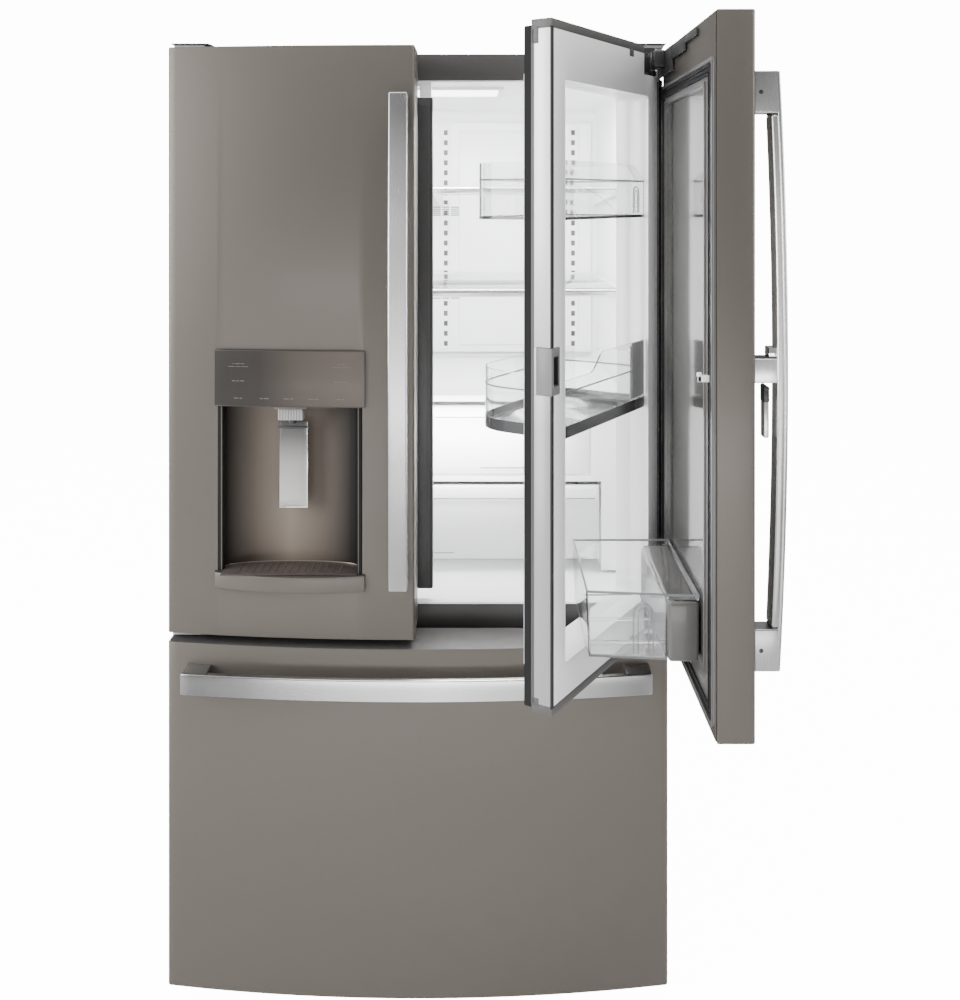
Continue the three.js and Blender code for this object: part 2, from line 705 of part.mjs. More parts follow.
function outerDoorLiner() {
  const plate = box([doorFree + 4, half - 4], [outerLeafBack + gap, outerBack], [doorLow + 4, doorHigh - 4]);
  const block = box([doorFree + 98, windowHinge - 12], [outerBack - 1, blockBack], [windowLow + 5, blockTop]);
  const ends = [[doorLow + 4, doorLow + outerHingeHigh], [doorHigh - outerHingeHigh, doorHigh - 4]];
  const hinges = ends.map((z) => box([hingeX - 14, half - 2], [outerBack - 1, hingeFront + 13], z));
  return cut(join([plate, block, ...hinges]), hingeBore(1, [doorLow - 5, doorHigh + 5]),
    box([latchX - 6, latchX + 6], [0, outerBack + 1], [latchMid - 12, latchMid + 16]));
}

// The deep bin sits over the raised block and hangs in front of it. Its free end is cut back so that it swings
// through the window.
function outerDoorBin() {
  const wall = 3;
  const low = windowLow + 8;
  const rim = windowLow + deepBinHigh;
  const side = (inset, top) => [
    [blockBack + gap + inset, low + inset],
    [deepBinBack - deepBinLean - inset, low + inset],
    [deepBinBack - inset, top],
    [outerBack + gap + inset, top],
    [outerBack + gap + inset, blockTop + gap + inset],
    [blockBack + gap + inset, blockTop + gap + inset],
  ];
  const plan = (inset) => [
    [doorFree + deepBinEnd + inset, outerBack],
    [doorFree + deepBinEnd + deepBinTaper + inset, deepBinBack + 1],
    [windowHinge - 12 - inset, deepBinBack + 1],
    [windowHinge - 12 - inset, outerBack],
  ];
  const shape = (inset, top) => {
    const end = [0, half];
    return prism(side(inset, top), end, 'x').intersect(prism(plan(inset), [windowLow, rim + 40]));
  };
  return cut(shape(0, rim), shape(wall, rim + 10));
}

const latchHook = () =>
  join([
    box([latchX - 4, latchX + 4], [outerLeafBack + gap, innerFront + 16], [latchMid - 6, latchMid + 4]),
    box([latchX - 4, latchX + 4], [innerFront + 9, innerFront + 16], [latchMid - 6, latchMid + 8]),
  ]);

// ---- Freezer drawer
const freezerPanel = () => bowSlab([-half, half], leafBack, [freezerFrontLow, freezerFrontHigh], 0, 24);

const freezerGasket = () => {
  const y = [leafBack + gap, sealBack];
  const rim = ring([-half + 8, half - 8], y, [freezerFrontLow + 50, freezerFrontHigh - 6], sealWide);
  const plate = box([-half + 8, half - 8], [y[0], y[0] + 5], [freezerFrontLow + 50, freezerFrontHigh - 6]);
  return rim.add(plate);
};

function freezerHandle() {
  const z = [drawerHandleLow, drawerHandleHigh];
  const reach = half - drawerHandleIn;
  const outer = bowSlab([-reach, reach], 60, z, handleOut - 4, 24);
  const behind = bowSlab([-reach + 18, reach - 18], 61, [z[0] - 1, z[1] + 1], handleOut - 18, 24);
  const door = bowSlab([-half, half], 62, [z[0] - 1, z[1] + 1], 2 * gap, 24);
  return cut(outer, behind, door);
}

const slideAt = { low: 300, high: 336 };

function freezerSlide(side) {
  const wallSide = linerHalf - gap;
  const web = box(mirrored(side, wallSide - 3, wallSide), [linerFront + 8, humpFront - 20], [slideAt.low, slideAt.high]);
  const lips = [slideAt.low, slideAt.high - 3].map((low) =>
    box(mirrored(side, wallSide - 13, wallSide - 1), [linerFront + 8, humpFront - 20], [low, low + 3]),
  );
  return join([web, ...lips]);
}

// The bin stands on a cradle whose runners slide in the rails, and the cradle's arms carry the front.
function freezerBin() {
  const side = linerHalf - 20;
  const back = humpFront - 40;
  const front = leafBack + 6 + 2 * gap;
  const bin = tray([-side, side], [front + 16, back], [freezerFloor + 14, 430], 4, 16);
  const runners = both((s) => box(mirrored(s, side - 2, side + 15), [front, back], [slideAt.low + 6, slideAt.high - 6]));
  return join([bin, ...runners]);
}

const upperBasket = () =>
  tray([-linerHalf + 16, linerHalf - 16], [linerFront + 34, humpFront - 20], [462, freezerCeiling - 40], 4, 16);

// ---- Assembly
const model = new THREE.Group();
const hungRight = (angle) => {
  const turn = new THREE.Group();
  const back = new THREE.Group();
  turn.position.set(hingeX, hingeFront, 0);
  turn.rotation.z = angle;
  back.position.set(-hingeX, -hingeFront, 0);
  turn.add(back);
  model.add(turn);
  return back;
};
const innerDoor = hungRight(innerRest);
const outerDoor = hungRight(outerRest);

const place = (parent, name, body, material) => {
  const made = body.getMesh();
  const geometry = new THREE.BufferGeometry();
  geometry.setAttribute('position', new THREE.BufferAttribute(made.vertProperties, 3));
  geometry.setIndex(new THREE.BufferAttribute(made.triVerts, 1));
  geometry.computeVertexNormals();
  const mesh = new THREE.Mesh(geometry, material);
  mesh.name = name;
  parent.add(mesh);
};

place(model, 'cabinet_shell', cabinetShell(), charcoal());
place(model, 'back_panel', backPanel(), steel());
place(model, 'cabinet_foam', cabinetFoam(), foam());
place(model, 'fresh_food_liner', liner('fresh'), whitePlastic());
place(model, 'freezer_liner', liner('freezer'), whitePlastic());
place(model, 'base_pan', basePan(), steel());
place(model, 'toe_grille', toeGrille(), charcoal());
place(model, 'compressor', compressor(), blackPlastic());
place(model, 'condenser_coil', condenserCoil(), steel());
place(model, 'condenser_fan', condenserFan(), blackPlastic());
place(model, 'evaporator', evaporator(), satin());
place(model, 'evaporator_cover', evaporatorCover(), whitePlastic());
place(model, 'rear_duct_panel', rearPanel(), whitePlastic());
place(model, 'upper_shelf_left', shelf([-linerHalf + 5, -3], shelfTop(2)), clearPlastic());
place(model, 'upper_shelf_right', shelf([3, linerHalf - 5], shelfTop(2)), clearPlastic());
place(model, 'middle_shelf', shelf([-linerHalf + 5, linerHalf - 5], shelfTop(1)), clearPlastic());
place(model, 'drawer_frame', drawerFrame(), whitePlastic());
place(model, 'left_crisper', crisper(-1), clearPlastic());
place(model, 'right_crisper', crisper(1), clearPlastic());
place(model, 'wide_drawer', wideDrawer(), clearPlastic());
place(model, 'mullion_guide', mullionGuide(), whitePlastic());
for (const [side, word] of [[-1, 'left'], [1, 'right']]) {
  place(model, `top_hinge_${word}`, topHinge(side), steel());
  place(model, `hinge_cover_${word}`, hingeCover(side), charcoal());
  place(model, `centre_hinge_${word}`, centreHinge(side), steel());
  place(model, `leg_${word}`, foot(side), blackPlastic());
  place(model, `rear_roller_${word}`, roller(side), blackPlastic());
  place(model, `freezer_slide_${word}`, freezerSlide(side), steel());
}
place(model, 'left_door_panel', leftDoorPanel(), slate());
place(model, 'left_door_liner', leftDoorLiner(), whitePlastic());
place(model, 'left_door_gasket', leftDoorGasket(), rubber());
place(model, 'left_door_bin', leftDoorBin(), clearPlastic());
place(model, 'left_handle', doorHandle(-1), satin());
place(model, 'dispenser_housing', dispenserHousing(), slate());
place(model, 'control_panel', controlPanel(), finish(0x4a403a, 0.2));
place(model, 'dispenser_nozzle', dispenserNozzle(), charcoal());
place(model, 'dispenser_paddle', dispenserPaddle(), satin());
place(model, 'drip_tray', dripTray(), slate());
place(model, 'mullion_flap', mullionFlap(), charcoal());
place(innerDoor, 'inner_door_frame', innerDoorFrame(), whitePlastic());
place(innerDoor, 'inner_door_gasket', innerDoorGasket(), rubber());
place(innerDoor, 'inner_top_bin', innerTopBin(), clearPlastic());
place(innerDoor, 'inner_middle_bin', innerMiddleBin(), clearPlastic());
place(innerDoor, 'latch_catch', latchCatch(), rubber());
place(outerDoor, 'outer_door_panel', outerDoorPanel(), slate());
place(outerDoor, 'outer_door_liner', outerDoorLiner(), charcoal());
place(outerDoor, 'outer_door_bin', outerDoorBin(), clearPlastic());
place(outerDoor, 'right_handle', doorHandle(1), satin());
place(outerDoor, 'handle_trigger', handleTrigger(), satin());
place(outerDoor, 'latch_hook', latchHook(), whitePlastic());
place(model, 'freezer_panel', freezerPanel(), slate());
place(model, 'freezer_gasket', freezerGasket(), rubber());
place(model, 'freezer_handle', freezerHandle(), satin());
place(model, 'freezer_bin', freezerBin(), whitePlastic());
place(model, 'upper_basket', upperBasket(), whitePlastic());

model.updateMatrixWorld(true);
const extent = new THREE.Box3().setFromObject(model, true);
const middle = extent.getCenter(new THREE.Vector3());
model.position.set(-middle.x, -middle.y, 0);
model.updateMatrixWorld(true);

export default model;
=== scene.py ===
"""Looks for the french door refrigerator.

Pieces are drawn in millimetres with every door shut, then turned to rest.
"""
import json
import math

import bmesh
import bpy
from mathutils import Matrix, Vector


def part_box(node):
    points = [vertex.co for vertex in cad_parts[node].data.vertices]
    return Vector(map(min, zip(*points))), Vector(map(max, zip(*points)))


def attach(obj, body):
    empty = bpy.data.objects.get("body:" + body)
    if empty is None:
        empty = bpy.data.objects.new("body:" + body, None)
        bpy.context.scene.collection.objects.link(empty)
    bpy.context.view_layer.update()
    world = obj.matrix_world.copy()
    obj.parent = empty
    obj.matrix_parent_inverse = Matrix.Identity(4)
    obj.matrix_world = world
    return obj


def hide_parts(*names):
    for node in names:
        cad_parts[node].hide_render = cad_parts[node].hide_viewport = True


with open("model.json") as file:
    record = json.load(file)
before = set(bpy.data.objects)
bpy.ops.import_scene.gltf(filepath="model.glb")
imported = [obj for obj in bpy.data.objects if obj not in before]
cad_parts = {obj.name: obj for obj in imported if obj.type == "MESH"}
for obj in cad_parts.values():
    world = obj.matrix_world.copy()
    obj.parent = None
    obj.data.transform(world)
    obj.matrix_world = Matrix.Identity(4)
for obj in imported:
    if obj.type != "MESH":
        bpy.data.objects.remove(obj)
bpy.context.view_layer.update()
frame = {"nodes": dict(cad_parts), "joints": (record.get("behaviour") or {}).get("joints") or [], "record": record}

AXES = {"x": (1, 2, 0), "y": (0, 2, 1), "z": (0, 1, 2)}  # across, across, along
MM = 0.001
NEAR = 0.01  # points this close are on the same level
FACING = 0.9  # a normal with this much of an axis faces along it
SOFT_FOLD = math.radians(35)  # flatter folds than this are shaded smooth

# ---- Sizes shared by the pieces, in the drawing frame
HALF, BOW = 454.0, 34.0
RADIUS = (HALF ** 2 + BOW ** 2) / (2 * BOW)
HINGE_X, HINGE_Y = 440.0, 37.0
DOOR_LOW, DOOR_HIGH, DOOR_FREE = 682.0, 1745.0, 4.0
ALCOVE_MID, ALCOVE_WIDE, ALCOVE_SPRING = -229.0, 257.0, 4.0
ALCOVE_LOW, ALCOVE_HIGH, CONTROL_HIGH = 798.0, 1096.0, 1198.0
HANDLE_LOW, HANDLE_HIGH = 782.0, 1657.0
HANDLE_MID = (HANDLE_LOW + HANDLE_HIGH) / 2
FREE_IN, HANDLE_WIDE, FOOT = 15.0, 33.0, -34.6
WIN_X, WIN_Z = (59.0, 383.0), (753.0, 1655.0)
CASE_FRONT, CASE_SIDE_BACK, CASE_BACK = 80.0, 822.6, 826.0
CASE_LOW, CASE_TOP = 30.0, 1743.0

joint = {j["name"]: j for j in frame["joints"]}
INNER_TURN = -joint["inner_door_hinge"]["range_deg"][0]
OUTER_TURN = INNER_TURN - joint["outer_door_hinge"]["range_deg"][0]
TURNS = {"inner_door": INNER_TURN, "outer_door": OUTER_TURN, "trigger": OUTER_TURN,
         "latch": OUTER_TURN}
SHIFT = Vector((
    sum(c.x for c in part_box("cabinet_shell")) / 2 / MM,
    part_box("back_panel")[1].y / MM - CASE_BACK,
    0,
))


def bow_y(x, out=0.0):
    """The front of a bowed leaf at x, or of a curve that stands out from it."""
    return RADIUS - BOW - math.sqrt((RADIUS + out) ** 2 - x * x)


# ---- Mesh helpers
def spot(axis, a, b, c):
    """A point from its two places across an axis and its place along it."""
    co = [0.0, 0.0, 0.0]
    for index, value in zip(AXES[axis], (a, b, c)):
        co[index] = value
    return co


def tidy(bm):
    bmesh.ops.recalc_face_normals(bm, faces=bm.faces[:])
    return bm


def paint(bm, m):
    for f in bm.faces:
        f.material_index = m
    return bm


def open_up(bm, gone):
    """Takes away the faces that a test picks."""
    bmesh.ops.delete(bm, geom=[f for f in bm.faces if gone(f)], context="FACES_ONLY")


def folded(e, angle):
    return len(e.link_faces) == 2 and e.calc_face_angle(0) > angle


def bevel(bm, edges, width, seg):
    bmesh.ops.bevel(bm, geom=edges, offset=width, offset_type="OFFSET", affect="EDGES",
                    segments=seg, profile=0.5, material=-1, clamp_overlap=True)


def soften(bm, width, seg=2, angle=40, only=None):
    """Rounds the edges that fold by more than an angle, or those of them that a test picks."""
    limit = math.radians(angle)
    edges = [e for e in bm.edges if folded(e, limit) and (only is None or only(e))]
    if edges:
        bevel(bm, edges, width, seg)
    return bm


def along(axis, tol=0.98):
    """A test for edges that run along an axis."""
    index = "xyz".index(axis)
    return lambda e: abs((e.verts[0].co - e.verts[1].co).normalized()[index]) > tol


def cuboid(x, y, z):
    bm = bmesh.new()
    bmesh.ops.create_cube(bm, size=1)
    spans = (x, y, z)
    bmesh.ops.scale(bm, vec=[s[1] - s[0] for s in spans], verts=bm.verts)
    bmesh.ops.translate(bm, vec=[(s[1] + s[0]) / 2 for s in spans], verts=bm.verts)
    return bm


def block(x, y, z, r=1.0, seg=2, m=0):
    """A box with rounded edges, rounder on no side than it is thin."""
    bm = cuboid(x, y, z)
    if r:
        soften(bm, min(r, 0.45 * min(s[1] - s[0] for s in (x, y, z))), seg=seg)
    return paint(bm, m)


def prism(outline, axis, ends, r=0.0, seg=2, m=0):
    bm = bmesh.new()
    face = bm.faces.new([bm.verts.new(spot(axis, a, b, ends[0])) for a, b in outline])
    made = bmesh.ops.extrude_face_region(bm, geom=[face])["geom"]
    bmesh.ops.translate(bm, vec=spot(axis, 0, 0, ends[1] - ends[0]),
                        verts=[g for g in made if isinstance(g, bmesh.types.BMVert)])
    tidy(bm)
    if r:
        soften(bm, r, seg=seg)
    return paint(bm, m)


def rod(radius, axis, ends, centre, seg=24, r=0.0, m=0, radius2=None):
    """A round bar, or a cone if it is given a second radius."""
    turn = {"x": Matrix.Rotation(math.pi / 2, 4, "Y"), "y": Matrix.Rotation(-math.pi / 2, 4, "X"),
            "z": Matrix()}[axis]
    bm = bmesh.new()
    bmesh.ops.create_cone(bm, cap_ends=True, segments=seg, radius1=radius,
                          radius2=radius if radius2 is None else radius2,
                          depth=ends[1] - ends[0], matrix=turn)
    bmesh.ops.translate(bm, vec=spot(axis, *centre, (ends[0] + ends[1]) / 2), verts=bm.verts)
    if r:
        soften(bm, r, angle=60)
    return paint(bm, m)


def grid(axis, u, v, at, nu=1, nv=1, holes=()):
    """A flat sheet across an axis; each hole is low u, high u, low v, high v."""
    iu, iv = AXES[axis][:2]
    bm = bmesh.new()
    bmesh.ops.create_grid(bm, x_segments=nu, y_segments=nv, size=1)
    for vert in bm.verts:
        s, t = (vert.co.x + 1) / 2, (vert.co.y + 1) / 2
        vert.co = spot(axis, u[0] + s * (u[1] - u[0]), v[0] + t * (v[1] - v[0]), at)
    for index, k in ((iu, 0), (iv, 2)):
        for value in sorted({side for h in holes for side in h[k:k + 2]}):
            co, no = [0.0] * 3, [0.0] * 3
            co[index], no[index] = value, 1.0
            bmesh.ops.bisect_plane(bm, geom=bm.verts[:] + bm.edges[:] + bm.faces[:], dist=1e-4,
                                   plane_co=co, plane_no=no)
    gone = []
    for f in bm.faces:
        c = f.calc_center_median()
        if any(h[0] < c[iu] < h[1] and h[2] < c[iv] < h[3] for h in holes):
            gone.append(f)
    bmesh.ops.delete(bm, geom=gone, context="FACES")
    return bm


def thicken(bm, axis, to):
    """Carries a sheet along an axis, to a level or by a function of the point."""
    w = AXES[axis][2]
    for g in bmesh.ops.extrude_face_region(bm, geom=bm.faces[:])["geom"]:
        if isinstance(g, bmesh.types.BMVert):
            g.co[w] = to(g.co) if callable(to) else to
    return tidy(bm)


def ring(axis, u, v, w, wide, r=1.0, corner=0.0, m=0, seg=2):
    """A rectangular frame; wide is one width or four: low u, high u, low v, high v."""
    a, b, c, d = wide if isinstance(wide, (tuple, list)) else (wide,) * 4
    bm = grid(axis, u, v, w[0], holes=[(u[0] + a, u[1] - b, v[0] + c, v[1] - d)])
    thicken(bm, axis, w[1])
    if corner:
        soften(bm, corner, seg=5, only=along(axis))
    if r:
        soften(bm, r, seg=seg)
    return paint(bm, m)


def bowed(x, z, back, holes=(), nu=30):
    """A bow-fronted leaf; its top and bottom ends take the second finish."""
    bm = grid("y", x, z, 0, nu=nu, holes=holes)
    for v in bm.verts:
        v.co.y = bow_y(v.co.x)
    thicken(bm, "y", back)
    upright = along("z")
    bevel(bm, [e for e in bm.edges if upright(e) and folded(e, 1)
               and max(v.co.y for v in e.verts) < back - 1
               and min(abs(e.verts[0].co.x - s) for s in x) < NEAR], 5, 4)
    soften(bm, 1.5, angle=50)
    for f in bm.faces:
        at_end = min(abs(f.calc_center_median().z - s) for s in z) < 0.5
        f.material_index = 1 if abs(f.normal.z) > FACING and at_end else 0
    return bm


def vessel(outline, z, wall, floor_r=6.0, rim=None, m=0, floor=True):
    """An open tray from its plan, or a band with no floor; rim gives the top's height."""
    bm = prism(outline, "z", z)
    open_up(bm, lambda f: f.normal.z > FACING or not floor and f.normal.z < -FACING)
    if floor:
        bevel(bm, [e for e in bm.edges if len(e.link_faces) == 2
                   and all(abs(v.co.z - z[0]) < NEAR for v in e.verts)], floor_r, 3)
    for v in bm.verts:
        if rim and abs(v.co.z - z[1]) < NEAR:
            v.co.z = rim(v.co)
    tidy(bm)
    bmesh.ops.solidify(bm, geom=bm.faces[:], thickness=wall)
    return paint(tidy(bm), m)


def band(outline, z, wall, m):
    return vessel(outline, z, wall, m=m, floor=False)


def round_rect(u, v, radii, n=5):
    """Corner points of a rectangle: low-low, high-low, high-high, low-high."""
    radii = radii if isinstance(radii, (tuple, list)) else (radii,) * 4
    spots = ((u[0], v[0], 1, 1, 180), (u[1], v[0], -1, 1, 270), (u[1], v[1], -1, -1, 0),
             (u[0], v[1], 1, -1, 90))
    points = []
    for (a, b, du, dv, start), r in zip(spots, radii):
        for i in range(n + 1):
            t = math.radians(start + 90 * i / n)
            points.append((a + du * r + r * math.cos(t), b + dv * r + r * math.sin(t)))
    return points


def half_round(mid, level, reach, rise, steps):
    """Points of a half ellipse, from its high side over to its low side."""
    turns = [math.pi * i / steps for i in range(steps + 1)]
    return [(mid + reach * math.cos(t), level + rise * math.sin(t)) for t in turns]


def dense(outline, step):
    """The outline again, with points on its sides no further apart than about a step."""
    out = []
    for (a, b), (c, d) in zip(outline, outline[1:] + outline[:1]):
        n = max(1, int(math.hypot(c - a, d - b) / step))
        out += [(a + (c - a) * i / n, b + (d - b) * i / n) for i in range(n)]
    return out


def arch(axis, u, v, w, wide, m=0):
    """An upright arch-shaped rib: straight legs and a round head."""
    mid, radius = (u[0] + u[1]) / 2, (u[1] - u[0]) / 2
    outer, inner = (half_round(mid, v[1] - radius, reach, reach, 8)
                    for reach in (radius, radius - wide))
    outline = [(u[1], v[0]), *outer, (u[0], v[0]), (u[0] + wide, v[0]), *inner[::-1],
               (u[1] - wide, v[0])]
    return prism(outline, axis, w, r=0.3, seg=1, m=m)


def flip(bm):
    """Mirrors a shape across the middle of the width."""
    bmesh.ops.scale(bm, vec=(-1, 1, 1), verts=bm.verts)
    bmesh.ops.reverse_faces(bm, faces=bm.faces[:])
    return bm


def sides(reach_in, reach_out, s):
    """The span between two distances from the middle, on side s."""
    return sorted((s * reach_in, s * reach_out))


def add_object(name, data):
    o = bpy.data.objects.new(name, data)
    bpy.context.scene.collection.objects.link(o)
    return o


def piece(name, body, parts, materials, nodes):
    """Joins parts into one object, in metres and in the row frame, on its body and with the given
    finishes; the nodes it replaces are hidden."""
    whole = bmesh.new()
    scratch = bpy.data.meshes.new("scratch")
    for part in parts:
        part.to_mesh(scratch)
        part.free()
        whole.from_mesh(scratch)
    bpy.data.meshes.remove(scratch)
    if body in TURNS:
        turn = Matrix.Rotation(math.radians(TURNS[body]), 3, "Z")
        bmesh.ops.rotate(whole, cent=(HINGE_X, HINGE_Y, 0), matrix=turn, verts=whole.verts)
    bmesh.ops.translate(whole, vec=SHIFT, verts=whole.verts)
    bmesh.ops.scale(whole, vec=(MM, MM, MM), verts=whole.verts)
    bmesh.ops.dissolve_degenerate(whole, dist=1e-7, edges=whole.edges[:])
    for e in whole.edges:
        e.smooth = not folded(e, SOFT_FOLD)
    for f in whole.faces:
        f.smooth = True
    mesh = bpy.data.meshes.new(name)
    whole.to_mesh(mesh)
    whole.free()
    for mat in materials:
        mesh.materials.append(mat)
    o = add_object(name, mesh)
    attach(o, body)
    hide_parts(*nodes)


# ---- Shared material effects
def new_group(name, inputs, outputs):
    tree = bpy.data.node_groups.new(name, "ShaderNodeTree")
    for label, kind, value in inputs:
        s = tree.interface.new_socket(name=label, in_out="INPUT", socket_type=kind)
        s.default_value = value
    for label, kind in outputs:
        tree.interface.new_socket(name=label, in_out="OUTPUT", socket_type=kind)
    return tree, tree.nodes.new("NodeGroupInput"), tree.nodes.new("NodeGroupOutput")


def node(tree, kind, inputs=None, **props):
    n = tree.nodes.new(kind)
    for k, v in props.items():
        setattr(n, k, v)
    for k, v in (inputs or {}).items():
        if isinstance(v, bpy.types.NodeSocket):
            tree.links.new(v, n.inputs[k])
        else:
            n.inputs[k].default_value = v
    return n


FLOAT, COLOR, VECTOR = "NodeSocketFloat", "NodeSocketColor", "NodeSocketVector"
MID_GREY = (0.5, 0.5, 0.5, 1)
EDGE_FROM, EDGE_TO = 0.505, 0.56  # how pointed a surface is where the painted edge highlight begins and is full
DUST_TONE, LAMP_TONE = (0.62, 0.6, 0.57, 1), (1, 0.985, 0.96, 1)
COAT_ROUGH = 0.08
CLEAR_TO_LIGHT = 0.06  # what a see-through finish holds back of shadow and bounce light


def grain_group():
    """Fine directional grain over broad, soft mottling: a tint for the colour, a roughness and
    a height."""
    tree, gi, go = new_group("surface_grain", [
        ("Color", COLOR, MID_GREY), ("Roughness", FLOAT, 0.4), ("Stretch", VECTOR, (1, 1, 1)),
        ("Grain", FLOAT, 300.0), ("Vary", FLOAT, 0.06), ("Rough Vary", FLOAT, 0.08),
        ("Mottle", FLOAT, 3.0),
    ], [("Color", COLOR), ("Roughness", FLOAT), ("Height", FLOAT)])
    where = node(tree, "ShaderNodeTexCoord")
    scaled = node(tree, "ShaderNodeMapping",
                  {"Vector": where.outputs["Object"], "Scale": gi.outputs["Stretch"]})
    fine = node(tree, "ShaderNodeTexNoise",
                {"Vector": scaled.outputs[0], "Scale": gi.outputs["Grain"], "Detail": 3.0,
                 "Roughness": 0.6})
    broad = node(tree, "ShaderNodeTexNoise",
                 {"Vector": where.outputs["Object"], "Scale": gi.outputs["Mottle"], "Detail": 4.0})
    both = node(tree, "ShaderNodeMath", {0: fine.outputs[0], 1: broad.outputs[0]}, operation="ADD")
    centred = node(tree, "ShaderNodeMath", {0: both.outputs[0], 1: 1.0}, operation="SUBTRACT")
    tone = node(tree, "ShaderNodeMath", {0: centred.outputs[0], 1: gi.outputs["Vary"], 2: 1.0},
                operation="MULTIPLY_ADD")
    tinted = node(tree, "ShaderNodeVectorMath", {0: gi.outputs["Color"], "Scale": tone.outputs[0]},
                  operation="SCALE")
    rough = node(tree, "ShaderNodeMath", {0: centred.outputs[0], 1: gi.outputs["Rough Vary"],
                                          2: gi.outputs["Roughness"]}, operation="MULTIPLY_ADD")
    tree.links.new(tinted.outputs[0], go.inputs["Color"])
    tree.links.new(rough.outputs[0], go.inputs["Roughness"])
    tree.links.new(fine.outputs[0], go.inputs["Height"])
    return tree


def edge_highlight_and_dust_group():
    """Edges get a painted highlight, a slightly lighter colour, and upward faces hold a trace of dust."""
    tree, gi, go = new_group("edges_and_dust", [
        ("Color", COLOR, MID_GREY), ("Roughness", FLOAT, 0.4),
        ("Edge Color", COLOR, (0.8, 0.8, 0.8, 1)),
        ("Edge", FLOAT, 0.2), ("Dust", FLOAT, 0.1),
    ], [("Color", COLOR), ("Roughness", FLOAT)])
    geo = node(tree, "ShaderNodeNewGeometry")
    edge = node(tree, "ShaderNodeMapRange",
                {"Value": geo.outputs["Pointiness"], "From Min": EDGE_FROM, "From Max": EDGE_TO,
                 "To Max": gi.outputs["Edge"]})
    split = node(tree, "ShaderNodeSeparateXYZ", {0: geo.outputs["Normal"]})
    where = node(tree, "ShaderNodeTexCoord")
    specks = node(tree, "ShaderNodeTexNoise", {"Vector": where.outputs["Object"], "Scale": 60.0,
                                               "Detail": 5.0})
    up = node(tree, "ShaderNodeMapRange", {"Value": split.outputs["Z"], "From Min": 0.5,
                                           "From Max": 1.0, "To Max": gi.outputs["Dust"]})
    laid = node(tree, "ShaderNodeMath", {0: up.outputs[0], 1: specks.outputs[0]},
                operation="MULTIPLY")
    # painted edge highlight: pointed edges take the lighter edge colour
    edge_highlit = node(tree, "ShaderNodeMix", {0: edge.outputs[0], 6: gi.outputs["Color"],
                                        7: gi.outputs["Edge Color"]}, data_type="RGBA")
    dusty = node(tree, "ShaderNodeMix", {0: laid.outputs[0], 6: edge_highlit.outputs[2], 7: DUST_TONE},
                 data_type="RGBA")
    rough = node(tree, "ShaderNodeMath", {0: laid.outputs[0], 1: gi.outputs["Roughness"]},
                 operation="ADD")
    tree.links.new(dusty.outputs[2], go.inputs["Color"])
    tree.links.new(rough.outputs[0], go.inputs["Roughness"])
    return tree


GRAIN, EDGE_HIGHLIGHT_AND_DUST = grain_group(), edge_highlight_and_dust_group()


def painted_light_ramp(tree, color, axis, stops):
    """Painted light and shade that changes along one axis: stops are (millimetres, factor)."""
    where = node(tree, "ShaderNodeTexCoord").outputs["Object"]
    split = node(tree, "ShaderNodeSeparateXYZ", {0: where})
    low, high = ((m + SHIFT["xyz".index(axis)]) * MM for m in (stops[0][0], stops[-1][0]))
    along_it = node(tree, "ShaderNodeMapRange",
                    {"Value": split.outputs[axis.upper()], "From Min": low, "From Max": high})
    ramp = node(tree, "ShaderNodeValToRGB", {0: along_it.outputs[0]})
    points = ramp.color_ramp.elements
    points.remove(points[1])
    for i, (m, factor) in enumerate(stops):
        point = points.new((m - stops[0][0]) / (stops[-1][0] - stops[0][0])) if i else points[0]
        point.color = (*[min(1.0, c * factor) for c in color], 1)
    return ramp.outputs["Color"]


